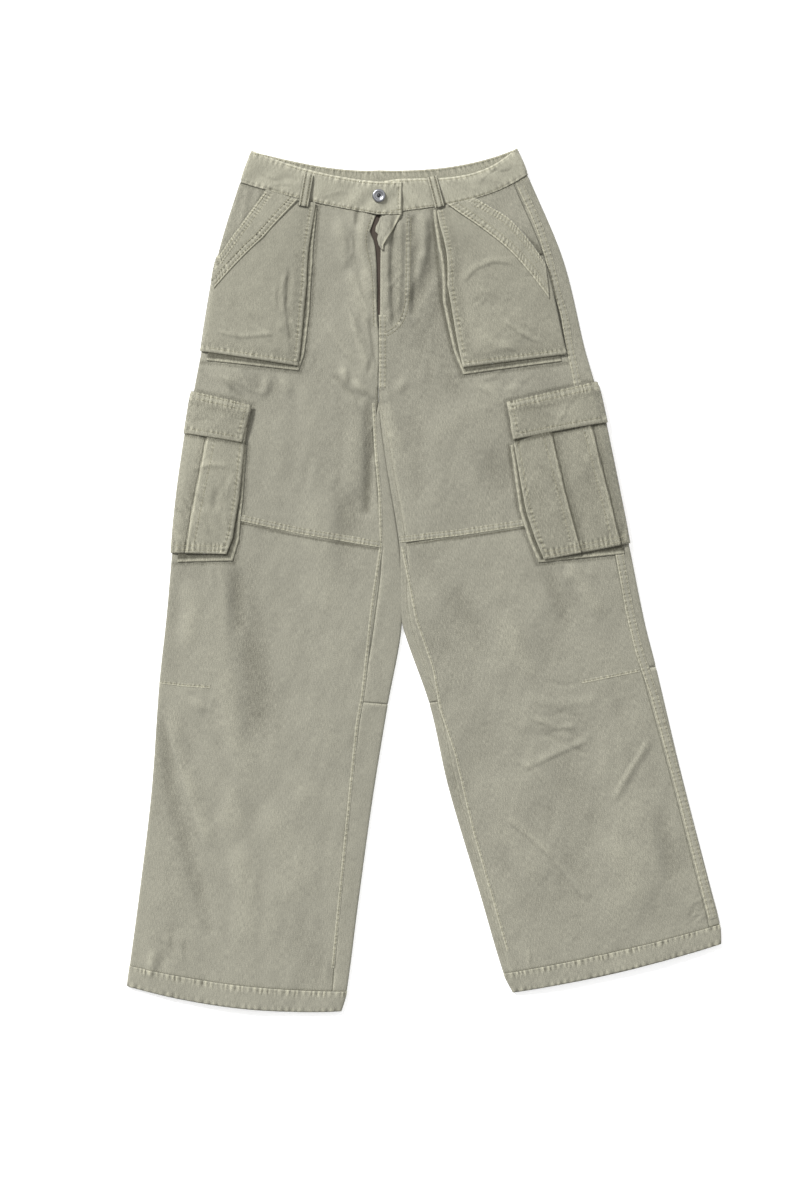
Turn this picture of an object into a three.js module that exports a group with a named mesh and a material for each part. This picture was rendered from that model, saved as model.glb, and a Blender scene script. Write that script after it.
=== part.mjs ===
// Cargo pants laid flat, front up, on a level surface.
//
// Frame: millimetres. +Y runs towards the waist, +X towards the wearer's left leg, +Z up from the surface.
// Every piece of cloth is a closed wall. It is worked out on one shared surface for each leg, which is a
// flattened tube: a place on it is "down", the distance below the waist seam, and "round", the distance
// round the tube from its outer fold. Round is positive on the upper layer and negative underneath. A third
// number, "out", moves a point off the surface, which is how pockets, flaps and loops lie on the panels.

import * as THREE from "three";

// ---- Driving sizes -------------------------------------------------------------------------------------

const CLOTH = 1.2; // one layer of heavy cotton twill
const BAND_CLOTH = 2; // waistband, two layers sewn together
const SEAM_GAP = 0.5; // between two pieces that meet at a seam
const EDGE_HEIGHT = 3.5; // middle of the lower wall to the middle of the upper wall at a side fold
const BAND_HEIGHT = 4.2; // the same at the waistband
const CROWN = 1.3; // how much higher the upper layer stands between the folds
const BAND_TOP = -41; // "down" of the waistband's upper edge
const WAIST_Y = 466; // height of the waist seam and of the band's upper edge at the centre front
const BAND_TOP_Y = 508;
const CENTRE_X = -57.6; // the centre line, front and back
const HIP_FLAT = 20; // down to here the hips are lifted by the belt loops underneath
const HIP_DOWN = 160; // from here they lie on the surface
const LOOP_LIFT = 2; // thickness of belt loop and gap under the waistband
const CROTCH = 278; // where the two legs part
const THIGH_SEAM = 440; // seam across the front of the thigh
const KNEE_SEAM = 645; // seam across the back of the knee
const HEM_SEAM = 1005; // where the turned-up hem starts
const HEM_EDGE = 1030;
const CARGO_LIFT = 3.4; // the cargo pocket's wrapped edge lies under the outer fold
const CARGO_WRAP = 26; // how far the cargo pocket reaches round the fold
const CARGO_RAMP = [200, 250, 490, 560]; // down: lift starts, is full, ends to be full, is gone
const LIFT_RAMP = [40, 150]; // round: the lift is full, is gone

const WRAP_RAMP = [-2.75, 8]; // round: what wraps the fold lies close under it, and stands off above
const OUT_GUSSET = 1.7; // middle of a pocket's side strip above the panel
const OUT_FACE = 3.3; // middle of a pocket's face above the panel
const OUT_TOP = 4.9; // middle of a band or flap on a pocket's face
const PLEAT = 1; // height of the step at a cargo pocket's pleat
const PLEAT_HALF = 0.9; // half the width of that step
const FOLD_SHARE = 0.3; // a pocket that ends on the outer fold ends this share of a quarter circle up it
const SEAM_MARGIN = 1; // a pocket that ends beside the side seam ends this far from it
const BEARER_TUCK = 16; // how far the hip piece runs under the pocket's band at the waist
const FLAP_GAP = 0.2; // more room between a cargo pocket and its flap
const LINE_STEP = 24; // longest stretch of a side strip's line
const STRIP_DEPTH = 14; // width of a pocket's side strip
const FOLD_STEP = 2; // from a piece's edge on the outer fold to where it lies flat
const FOLD_CLEARANCE = 9; // a side strip ends this far from the outer fold
const INNER_STRIP = 8; // width, underneath, of the back panel's strip that wraps the inner fold
const FLY_WIDEST = 38; // "down" where the fly gapes most
const LEG_START = CROTCH + 3; // first section of the closed leg
const ROWS = [
  HIP_FLAT, FLY_WIDEST, 60, 90, 125, HIP_DOWN, CARGO_RAMP[0], CARGO_RAMP[1], CROTCH - 3, LEG_START, 325, 365,
  405, THIGH_SEAM, 465, CARGO_RAMP[2], 525, CARGO_RAMP[3], 600, KNEE_SEAM, 690, 735, 780, 825, 870, 915, 960,
];
const FOLD_STEPS = [-1, -0.5, 0, 0.5, 1]; // where a fold's half circle is cut, in quarter circles

const BUTTON_RADIUS = 8.5;
const LOOP_WIDTH = 14;
const LOOP_GAP = 0.4; // between the waistband and a belt loop's upper end
const LOOP_RISE = 0.8; // how far a belt loop stands off in its middle
const TAPE_OUT = -1.7; // the zip tape lies below the upper layer

// ---- Tables --------------------------------------------------------------------------------------------

// One row for each section across a leg. (outerX, outerY) is its side fold and (innerX, innerY) the centre
// seam or the inner fold. bow and dip bend the upper layer's line, evenly or most at its outer third; rise
// lifts the lower layer's line at the centre back. sideSeam is how far round the side seam lies, and inseam
// how far the inner leg seam lies from the inner fold.
const SECTION_COLUMNS = [
  "down", "outerX", "outerY", "innerX", "innerY", "bow", "dip", "rise", "sideSeam", "inseam",
];
const SECTIONS = {
  right: table(SECTION_COLUMNS, [
    [BAND_TOP, -220, 548, CENTRE_X, BAND_TOP_Y, -6.5, 0, 16, -12, 0],
    [0, -234, 507, CENTRE_X, WAIST_Y, -2.5, -1, 20, -12, 0],
    [97, -262.5, 412, CENTRE_X, 408, 0, 0, 4, -12, 0],
    [217, -284, 292, CENTRE_X, 290, 0, 0, 0, -12, 0],
    [CROTCH, -295.5, 230, -58.6, 228, 0, 0, 0, -12, 9],
    [350, -307, 159, -50.2, 151, 0, 0, 0, -12, 15],
    [THIGH_SEAM, -316, 90, -34, 37, 0, 0, 0, -12, 24],
    [560, -329, -49, -32.2, -61, 0, 0, 0, -12, 36],
    [KNEE_SEAM, -338, -133, -46.7, -159, 0, 0, 0, -12, 34],
    [775, -348, -271, -66.6, -282, 0, 0, 0, -12, 31],
    [905, -363.5, -401, -84.5, -412, 0, 0, 0, -12, 25],
    [HEM_SEAM, -376, -494, -99.5, -527, -8, 0, 0, -12, 19],
    [HEM_EDGE, -379.5, -519, -106, -551, -11, 0, 0, -12, 17],
  ]),
  left: table(SECTION_COLUMNS, [
    [BAND_TOP, 118, 551.5, CENTRE_X, BAND_TOP_Y, -1, -18, 16, 19, 0],
    [0, 132, 517, CENTRE_X, WAIST_Y, -4, -9, 20, 19, 0],
    [97, 177, 410, CENTRE_X, 408, 0, 0, 4, 24, 0],
    [217, 206, 292, CENTRE_X, 290, 0, 0, 0, 25, 0],
    [CROTCH, 222.5, 233, -56.6, 228, 0, 0, 0, 24, 7],
    [350, 237, 166, -47, 151, 0, 0, 0, 22, 9],
    [THIGH_SEAM, 252, 92, -29, 45, 0, 0, 0, 21, 10],
    [560, 280.5, -49, -25.8, -51, 0, 0, 0, 21, 12],
    [KNEE_SEAM, 296, -111, 7, -157, 0, 0, 0, 20, 12],
    [775, 328, -246, 32, -266, 0, 0, 0, 15, 12],
    [905, 363.5, -384, 72, -401, 0, 0, 0, 15, 10],
    [HEM_SEAM, 378, -441, 102.5, -504, -4, 0, -6, 15, 9],
    [HEM_EDGE, 379.5, -465, 114, -527, -5, 0, -7, 15, 9],
  ]),
};

// The largest folds of the upper layer: a soft ridge (height above zero) or trough (below zero) along a line
// on one leg. reach is how far to each side it dies out.
const FOLD_COLUMNS = ["fromDown", "fromRound", "toDown", "toRound", "height", "reach"];
const FOLDS = {
  right: table(FOLD_COLUMNS, [
    [300, 215, 425, 235, -0.9, 30],
    [690, 25, 880, 60, 0.8, 34],
    [700, 60, 960, 110, -0.8, 34],
    [560, 90, 640, 95, 0.5, 40],
  ]),
  left: table(FOLD_COLUMNS, [
    [60, 165, 190, 175, 0.7, 30],
    [300, 120, 420, 190, 0.6, 36],
    [660, 110, 745, 60, -0.8, 34],
    [790, 190, 880, 110, 0.8, 34],
    [560, 60, 660, 130, 0.6, 34],
  ]),
};

// Front patch pockets, as places seen from above. The face hangs from the waist seam; its opening is a slant
// whose sewn-on band runs from the waist seam to the side. base is the line where the side strip is sewn on.
const PATCH_POCKETS = {
  right: {
    openingTop: [-201, 498],
    openingFoot: [-269, 383],
    innerTop: [-139.5, 478],
    innerMiddle: [-150, 376],
    innerFoot: [-160.5, 273],
    outerFoot: [-286, 292],
    base: [[-136.5, 475], [-142, 404], [-146, 343], [-153, 287], [-160, 267]],
    bandLower: [[-160.5, 485], [-205, 436], [-268, 372]],
    bandUpper: [[-201, 498], [-231, 456], [-268, 402]],
    baseFoot: [-288, 280],
  },
  left: {
    openingTop: [56, 497],
    openingFoot: [158, 402],
    innerTop: [17, 474],
    innerMiddle: [30, 376],
    innerFoot: [50, 271],
    outerFoot: [182, 288],
    base: [[12, 472], [18, 424], [24, 356], [38, 292], [50, 262]],
    bandLower: [[29, 480], [84, 440], [160, 358]],
    bandUpper: [[56, 492], [108, 462], [154, 404]],
    baseFoot: [183, 279],
  },
};

// Cargo pockets on the side seams. Each line is a list of places seen from above, from the waist end down.
// faceTop is where the face's top edge, which lies under the flap, meets the side.
const CARGO_POCKETS = {
  right: {
    faceTop: [-297, 199],
    innerEdge: [[-227, 190], [-236, 102], [-244, 54], [-252, 33]],
    faceFoot: [[-252, 33], [-320, 34]],
    pleats: [[[-277, 176], [-303, 48]]],
    baseInner: [[-226, 172], [-231, 102], [-236, 50], [-244, 24]],
    baseFootY: 23,
    flapTop: [[-219, 223], [-296, 241]],
    flapFoot: [[-232, 175], [-305, 187]],
  },
  left: {
    faceTop: [226, 213],
    innerEdge: [[112, 192], [130, 88], [142, 52], [153, 26]],
    faceFoot: [[153, 26], [263, 47]],
    pleats: [[[161, 188], [196, 54]], [[212, 197], [248, 56]]],
    baseInner: [[110, 172], [122, 88], [134, 50], [146, 22]],
    baseFootY: 34,
    flapTop: [[105, 227], [218, 253]],
    flapFoot: [[114, 179], [229, 201]],
  },
};

// Belt loops: the side whose surface they lie on, then both ends as places seen from above.
const LOOP_COLUMNS = ["name", "side", "under", "topX", "topY", "footX", "footY", "footOut"];
const BELT_LOOPS = table(LOOP_COLUMNS, [
  ["belt_loop_front_right", "right", 0, -147, 518, -154, 476, 6.8],
  ["belt_loop_front_left", "left", 0, 13, 517, 19, 482, 6.8],
  ["belt_loop_back_right", "right", 1, -150, 524, -156, 486, 2],
  ["belt_loop_back_centre", "right", 1, -66, 520, -66, 482, 2],
  ["belt_loop_back_left", "left", 1, 32, 522, 38, 484, 2],
]);

// The zip tape's two edges and the fly shield's two edges, from the waist seam down.
const ZIP_TAPE = [[-66, -50], [-74, -58], [-74, -58], [-66, -53], [-62, -53]];
const ZIP_TAPE_Y = [467, 440, 425, 396, 345];
const SHIELD = [[-56, -30], [-58, -39], [-61, -46], [-58, -52]];
const SHIELD_Y = [464.5, 453, 441, 428];
const BAND_END_X = -28.5; // edge of the band end that lies on top
const UNDER_END_X = -50; // edge of the band end that it lies on
const OVERLAP_RAMP = [-75, -55]; // where the upper band end climbs on to the lower one
const OVERLAP_LIFT = 2.7;
const FLY_SPREAD = 15; // how far the wearer's right fly edge is pulled back, at its widest
const FLY_REACH = 34; // the half length of that stretch
const BUTTON_PLACE = [CENTRE_X, 490];

const COLOURS = {
  panel: 0xa5a394,
  band: 0xb2af9e,
  pocket: 0xa6a496,
  cargo: 0xaaa89a,
  flap: 0xaca999,
  strip: 0x9d9b8c,
  tape: 0x554c3f,
  metal: 0x9c9da0,
};

// ---- Small helpers -------------------------------------------------------------------------------------

function table(columns, rows) {
  return rows.map((row) => Object.fromEntries(columns.map((name, index) => [name, row[index]])));
}

function lerp(from, to, share) {
  return from + (to - from) * share;
}

function clamp01(value) {
  return Math.min(1, Math.max(0, value));
}

// 0 before the first place, 1 after the second, straight between them.
function ramp(value, [from, to]) {
  return clamp01((value - from) / (to - from));
}

// A list of places, cut into even shares by their number, read at one share.
function alongList(places, share) {
  const reach = clamp01(share) * (places.length - 1);
  const index = Math.min(Math.floor(reach), places.length - 2);
  return places[index].map((value, axis) => lerp(value, places[index + 1][axis], reach - index));
}

// The same line with places added so that none are further apart than a step.
function densify(places, step) {
  const dense = [places[0]];
  for (let index = 1; index < places.length; index += 1) {
    const [from, to] = [places[index - 1], places[index]];
    const count = Math.ceil(Math.hypot(to[0] - from[0], to[1] - from[1]) / step);
    for (let part = 1; part <= count; part += 1) {
      dense.push(from.map((value, axis) => lerp(value, to[axis], part / count)));
    }
  }
  return dense;
}

function evenly(from, to, count) {
  return Array.from({ length: count }, (_, index) => lerp(from, to, index / (count - 1)));
}

// ---- The shared surface --------------------------------------------------------------------------------

// A section's values at any "down": a smooth curve through the table's rows.
function sectionAt(side, down) {
  const rows = SECTIONS[side];
  let index = 0;
  while (index < rows.length - 2 && rows[index + 1].down < down) index += 1;
  const before = rows[Math.max(index - 1, 0)];
  const start = rows[index];
  const end = rows[index + 1];
  const after = rows[Math.min(index + 2, rows.length - 1)];
  const span = end.down - start.down;
  const share = (down - start.down) / span;
  const section = { down };
  for (const name of SECTION_COLUMNS.slice(1)) {
    const startSlope = ((end[name] - before[name]) / (end.down - before.down)) * span;
    const endSlope = ((after[name] - start[name]) / (after.down - start.down)) * span;
    section[name] = start[name] * (1 + 2 * share) * (1 - share) ** 2
      + startSlope * share * (1 - share) ** 2
      + end[name] * share ** 2 * (3 - 2 * share)
      + endSlope * share ** 2 * (share - 1);
  }
  section.isLeg = down > CROTCH;
  section.width = Math.hypot(section.innerX - section.outerX, section.innerY - section.outerY);
  section.height = lerp(BAND_HEIGHT, EDGE_HEIGHT, ramp(down, [0, HIP_FLAT]));
  section.radius = section.height / 2;
  section.quarter = (section.radius * Math.PI) / 2;
  section.inside = section.isLeg ? section.radius : 0;
  section.length = section.width + (section.radius + section.inside) * (Math.PI / 2 - 1);
  return section;
}

// How far a section's line is bent towards the waist, at a share of its width.
function lineBend(section, share, isUnder) {
  const skewed = 6.75 * share * (1 - share) ** 2 * section.dip;
  if (isUnder) {
    const profile = section.isLeg ? 4 * share * (1 - share) : clamp01(share) ** 3;
    return profile * section.rise + skewed / 4;
  }
  return 4 * share * (1 - share) * section.bow + skewed;
}

// How far the whole tube is lifted off the surface by what lies under it.
function liftAt(section, across) {
  const loops = LOOP_LIFT * (1 - ramp(section.down, [HIP_FLAT, HIP_DOWN]));
  const [start, full, ending, gone] = CARGO_RAMP;
  const window = ramp(section.down, [start, full]) * (1 - ramp(section.down, [ending, gone]));
  return loops + CARGO_LIFT * window * (1 - ramp(across, LIFT_RAMP));
}

// Height that the largest folds add to the upper layer.
function foldHeight(side, down, round) {
  let height = 0;
  for (const fold of FOLDS[side]) {
    const alongDown = fold.toDown - fold.fromDown;
    const alongRound = fold.toRound - fold.fromRound;
    const lengthSquared = alongDown ** 2 + alongRound ** 2;
    const dot = (down - fold.fromDown) * alongDown + (round - fold.fromRound) * alongRound;
    const share = clamp01(dot / lengthSquared);
    const nearDown = fold.fromDown + alongDown * share;
    const nearRound = fold.fromRound + alongRound * share;
    const distance = Math.hypot(down - nearDown, round - nearRound) / fold.reach;
    if (distance < 1) height += fold.height * (1 - distance ** 2) ** 2;
  }
  return height;
}

// The point of one leg's surface at a place (down, round), moved off it by "out".
function surfacePoint(side, down, roundAny, out) {
  const section = sectionAt(side, down);
  const { width, radius, quarter, inside, length, isLeg } = section;
  let round = roundAny;
  if (isLeg && round < -length) round += 2 * length;
  if (isLeg && round > length) round -= 2 * length;
  const isUnder = round < 0;
  const innerQuarter = (inside * Math.PI) / 2;
  const fromInner = length - Math.abs(round);
  let across = 0;
  let height = 0;
  if (Math.abs(round) <= quarter) {
    const angle = round / radius;
    across = radius - (radius + out) * Math.cos(angle);
    height = radius + (radius + out) * Math.sin(angle);
  } else if (isLeg && fromInner < innerQuarter) {
    const angle = (fromInner / inside) * Math.sign(round);
    across = width - inside + (inside + out) * Math.cos(angle);
    height = inside + (inside + out) * Math.sin(angle);
  } else {
    across = radius + Math.abs(round) - quarter;
    const share = clamp01(across / width);
    const crown = CROWN * 4 * share * (1 - share);
    height = isUnder ? -out : section.height + crown + foldHeight(side, down, round) + out;
  }
  const share = across / width;
  const x = section.outerX + (section.innerX - section.outerX) * share;
  const bend = lineBend(section, clamp01(share), isUnder);
  const y = lerp(section.outerY, section.innerY, Math.min(share, 1)) + bend;
  return new THREE.Vector3(x, y, CLOTH / 2 + liftAt(section, across) + height);
}

// The place (down, round) of a point seen from above, on the upper or the lower layer. Halving the span
// finds the section whose line runs through the point.
function placeOf(side, [x, y], isUnder = false) {
  let low = BAND_TOP - 8;
  let high = HEM_EDGE;
  let section = null;
  let share = 0;
  for (let step = 0; step < 30; step += 1) {
    const middle = (low + high) / 2;
    section = sectionAt(side, middle);
    share = (x - section.outerX) / (section.innerX - section.outerX);
    const bend = lineBend(section, clamp01(share), isUnder);
    const lineY = lerp(section.outerY, section.innerY, Math.min(share, 1)) + bend;
    if (y > lineY) high = middle;
    else low = middle;
  }
  const round = share * section.width - section.radius + section.quarter;
  return [section.down, isUnder ? -round : round];
}

// ---- Closed walls --------------------------------------------------------------------------------------

// A closed wall of a given thickness. pointAt(row, column, out) gives a point moved off the wall's middle. A
// ring joins its last column to its first.
function wall(rowCount, columnCount, thickness, pointAt, isRing = false) {
  const positions = [];
  const faces = [];
  for (const out of [thickness / 2, -thickness / 2]) {
    for (let row = 0; row < rowCount; row += 1) {
      for (let column = 0; column < columnCount; column += 1) {
        positions.push(...pointAt(row, column, out).toArray());
      }
    }
  }
  const layer = rowCount * columnCount;
  const at = (row, column) => row * columnCount + (column % columnCount);
  const quad = (a, b, c, d) => faces.push(a, b, c, a, c, d);
  const columnEnd = isRing ? columnCount : columnCount - 1;
  for (let row = 0; row < rowCount - 1; row += 1) {
    for (let column = 0; column < columnEnd; column += 1) {
      const corners = [at(row, column), at(row, column + 1), at(row + 1, column + 1), at(row + 1, column)];
      quad(...corners);
      quad(...corners.reverse().map((corner) => corner + layer));
    }
  }
  const rim = (a, b) => quad(b, a, a + layer, b + layer);
  for (let column = 0; column < columnEnd; column += 1) {
    rim(at(0, column), at(0, column + 1));
    rim(at(rowCount - 1, column + 1), at(rowCount - 1, column));
  }
  if (!isRing) {
    for (let row = 0; row < rowCount - 1; row += 1) {
      rim(at(row + 1, 0), at(row, 0));
      rim(at(row, columnCount - 1), at(row + 1, columnCount - 1));
    }
  }
  const geometry = new THREE.BufferGeometry();
  geometry.setAttribute("position", new THREE.Float32BufferAttribute(positions, 3));
  geometry.setIndex(signedVolume(positions, faces) < 0 ? faces.reverse() : faces);
  return geometry;
}

function signedVolume(positions, faces) {
  const corner = (index) => new THREE.Vector3().fromArray(positions, index * 3);
  let total = 0;
  for (let index = 0; index < faces.length; index += 3) {
    const [a, b, c] = [corner(faces[index]), corner(faces[index + 1]), corner(faces[index + 2])];
    total += a.dot(b.cross(c));
  }
  return total;
}

function piece(name, geometry, colour, roughness = 0.92, metalness = 0) {
  geometry.computeVertexNormals();
  const material = new THREE.MeshStandardMaterial({ color: colour, roughness, metalness });
  const mesh = new THREE.Mesh(geometry, material);
  mesh.name = name;
  return mesh;
}

// ---- Legs ----------------------------------------------------------------------------------------------

// Places round the outer fold, from the upper layer to the lower one.
function outerFold(section) {
  return FOLD_STEPS.map((step) => -step * section.quarter);
}

// Pull-back of the wearer's right fly edge at one "down".
function flyOpening(side, down) {
  const reach = Math.abs(down - FLY_WIDEST) / FLY_REACH;
  return side === "right" && reach < 1 ? FLY_SPREAD * (1 - reach ** 2) : 0;
}

// Columns of a front panel: from the side seam, round the fold where it wraps it, to the fly, the centre
// seam or the inner leg seam.
function frontColumns(side, section) {
  const first = section.sideSeam > 0 ? [section.sideSeam + SEAM_GAP / 2]
    : [section.sideSeam + SEAM_GAP / 2, ...outerFold(section).reverse()];
  const last = section.isLeg ? section.length - section.inseam - SEAM_GAP / 2
    : section.length - SEAM_GAP / 2 - flyOpening(side, section.down);
  return [...first, ...evenly(LIFT_RAMP[0], LIFT_RAMP[1], 4), ...evenly(LIFT_RAMP[1], last, 5).slice(1)];
}

// Columns of a back panel: from the side seam under the leg to the centre back, or to the strip that wraps
// the inner fold.
function backColumns(side, section) {
  const first = section.sideSeam > 0 ? [section.sideSeam - SEAM_GAP / 2, ...outerFold(section)]
    : [section.sideSeam - SEAM_GAP / 2];
  const last = (section.isLeg ? innerStart(section) : -section.length) + SEAM_GAP / 2;
  return [...first, -LIFT_RAMP[0], ...evenly(-LIFT_RAMP[1], last, 4)];
}

// Where, underneath, the strip that wraps the inner fold begins.
function innerStart(section) {
  return -section.length + (section.inside * Math.PI) / 2 + INNER_STRIP;
}

// Columns of the back panel's inner strip: from below, round the inner fold, to the inner leg seam on top.
function innerColumns(side, section) {
  const quarter = (section.inside * Math.PI) / 2;
  const fold = FOLD_STEPS.map((step) => -section.length - step * quarter);
  const seam = -section.length - section.inseam + SEAM_GAP / 2;
  return [innerStart(section) - SEAM_GAP / 2, ...fold, seam];
}

function panel(name, side, rows, columnsOf) {
  const grid = rows.map((down) => ({ down, rounds: columnsOf(side, sectionAt(side, down)) }));
  const pointAt = (row, column, out) => surfacePoint(side, grid[row].down, grid[row].rounds[column], out);
  return piece(name, wall(rows.length, grid[0].rounds.length, CLOTH, pointAt), COLOURS.panel);
}

// The rows of a piece between two seams. All pieces share the rows in between, so they meet in true lines.
function rowsBetween(from, to) {
  const inside = ROWS.filter((down) => down > from + 2 && down < to - 2);
  return [from + SEAM_GAP / 2, ...inside, to - SEAM_GAP / 2];
}

function legPieces(side) {
  return [
    panel(`front_upper_${side}`, side, rowsBetween(0, THIGH_SEAM), frontColumns),
    panel(`front_lower_${side}`, side, rowsBetween(THIGH_SEAM, HEM_SEAM), frontColumns),
    panel(`back_upper_${side}`, side, rowsBetween(0, KNEE_SEAM), backColumns),
    panel(`back_lower_${side}`, side, rowsBetween(KNEE_SEAM, HEM_SEAM), backColumns),
    panel(`back_inner_upper_${side}`, side, rowsBetween(LEG_START - SEAM_GAP / 2, KNEE_SEAM), innerColumns),
    panel(`back_inner_lower_${side}`, side, rowsBetween(KNEE_SEAM, HEM_SEAM), innerColumns),
    hem(side),
  ];
}

// The turned-up hem: a ring round the whole leg opening.
function hem(side) {
  const rows = [HEM_SEAM + SEAM_GAP / 2, HEM_EDGE];
  const ringRounds = (section) => {
    const innerQuarter = (section.inside * Math.PI) / 2;
    const outer = outerFold(section).reverse();
    const inner = FOLD_STEPS.map((step) => section.length + step * innerQuarter);
    const upper = evenly(section.quarter, section.length - innerQuarter, 8).slice(1, -1);
    const lower = evenly(section.length + innerQuarter, 2 * section.length - section.quarter, 6).slice(1, -1);
    return [...outer, ...upper, ...inner, ...lower];
  };
  const rounds = rows.map((down) => ringRounds(sectionAt(side, down)));
  const pointAt = (row, column, out) => surfacePoint(side, rows[row], rounds[row][column], out);
  return piece(`hem_${side}`, wall(rows.length, rounds[0].length, CLOTH, pointAt, true), COLOURS.band);
}

// ---- Waistband, loops, fly and button ------------------------------------------------------------------

// A point of the waistband. Its upper end climbs on to the other one where they overlap.
function bandPoint(side, down, round, out) {
  const point = surfacePoint(side, down, round, out);
  if (side === "right" && round > 0) point.z += OVERLAP_LIFT * ramp(point.x, OVERLAP_RAMP);
  return point;
}

function waistband() {
  const rows = [BAND_TOP, BAND_TOP / 2, -SEAM_GAP / 2];
  // Columns of one half: from its front end, over the fly, round the side fold, to the centre back.
  const halfColumns = (side, ends, down) => {
    const section = sectionAt(side, down);
    const height = lerp(WAIST_Y, BAND_TOP_Y, down / BAND_TOP);
    const front = ends.map((x) => placeOf(side, [x, height])[1]);
    const panels = [...frontColumns(side, section), ...backColumns(side, section), ...outerFold(section)];
    const sorted = panels.filter((round) => round < section.length - 20).sort((a, b) => b - a);
    const distinct = sorted.filter((round, index) => index === 0 || sorted[index - 1] - round > 0.6);
    return [...front, ...distinct.slice(0, -1), -section.length];
  };
  const overEnds = [BAND_END_X, -42, ...OVERLAP_RAMP.toReversed()];
  const underEnds = [UNDER_END_X, -39];
  const columns = rows.map((down) => [
    ...halfColumns("right", overEnds, down).map((round) => ["right", round]),
    ...halfColumns("left", underEnds, down).map((round) => ["left", round]).reverse().slice(1),
  ]);
  const pointAt = (row, column, out) => {
    const [side, round] = columns[row][column];
    return bandPoint(side, rows[row], round, out);
  };
  return piece("waistband", wall(rows.length, columns[0].length, BAND_CLOTH, pointAt), COLOURS.band);
}

// A belt loop: a narrow strip that bridges the waistband, sewn down at both ends.
function beltLoop({ name, side, under, topX, topY, footX, footY, footOut }) {
  const isUnder = under === 1;
  const start = BAND_CLOTH / 2 + CLOTH / 2 + LOOP_GAP;
  const rise = [0, LOOP_RISE, 0];
  const pointAt = (row, column, out) => {
    const share = row / 2;
    const shift = (column - 0.5) * LOOP_WIDTH;
    const centre = [lerp(topX, footX, share) + shift, lerp(topY, footY, share)];
    const [down, round] = placeOf(side, centre, isUnder);
    const standing = isUnder ? LOOP_LIFT : lerp(start, footOut, share) + rise[row];
    const point = surfacePoint(side, down, round, standing + out);
    if (isUnder) point.z = CLOTH / 2 - out;
    return point;
  };
  return piece(name, wall(3, 2, CLOTH, pointAt), COLOURS.flap);
}

// A strip between two edges given at a few heights, at one distance off a side's surface.
function strip(name, side, edges, heights, standing, colour) {
  const pointAt = (row, column, out) => {
    const [down, round] = placeOf(side, [edges[row][column], heights[row]]);
    return surfacePoint(side, Math.max(down, SEAM_GAP), round, standing + out);
  };
  return piece(name, wall(heights.length, 2, CLOTH, pointAt), colour);
}

function button() {
  const seat = bandPoint("right", ...placeOf("right", BUTTON_PLACE), BAND_CLOTH / 2);
  const profile = [
    [0, 0.6], [4.6, 0.6], [5, 0], [BUTTON_RADIUS - 0.6, 0], [BUTTON_RADIUS, 0.8], [BUTTON_RADIUS - 0.2, 1.9],
    [BUTTON_RADIUS - 1.4, 2.5], [5.2, 2.2], [2.4, 1.9], [1.6, 1.3], [0, 1.3],
  ];
  const geometry = new THREE.LatheGeometry(profile.map(([x, y]) => new THREE.Vector2(x, y)), 24);
  geometry.rotateX(Math.PI / 2);
  geometry.translate(BUTTON_PLACE[0], BUTTON_PLACE[1], seat.z + SEAM_GAP);
  return piece("button", geometry, COLOURS.metal, 0.35, 0.9);
}

// A pocket's side strip: flat on the panel inside the line it is sewn on. The line runs down the pocket's
// inner side, turns at its last place but one and ends at the side.
function sideStrip(side, sewn) {
  const corner = sewn.length - 2;
  const hidden = sewn.map(([down, round], index) => [
    index < corner ? down : down - STRIP_DEPTH, index > corner ? round : round - STRIP_DEPTH,
  ]);
  const [outerLine, innerLine] = matchedLines(sewn, hidden, LINE_STEP);
  return wall(outerLine.length, 2, CLOTH, (row, column, out) => {
    const [down, round] = (column === 0 ? innerLine : outerLine)[row];
    return surfacePoint(side, down, round, OUT_GUSSET + out);
  });
}

// Two lines of the same number of places, with places added to both where the first needs them.
function matchedLines(first, second, step) {
  const lines = [[first[0]], [second[0]]];
  for (let index = 1; index < first.length; index += 1) {
    const parts = densify(first.slice(index - 1, index + 1), step).length - 1;
    for (let part = 1; part <= parts; part += 1) {
      [first, second].forEach((line, which) => {
        lines[which].push(alongList(line.slice(index - 1, index + 1), part / parts));
      });
    }
  }
  return lines;
}

// ---- Patch pockets -------------------------------------------------------------------------------------

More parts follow.
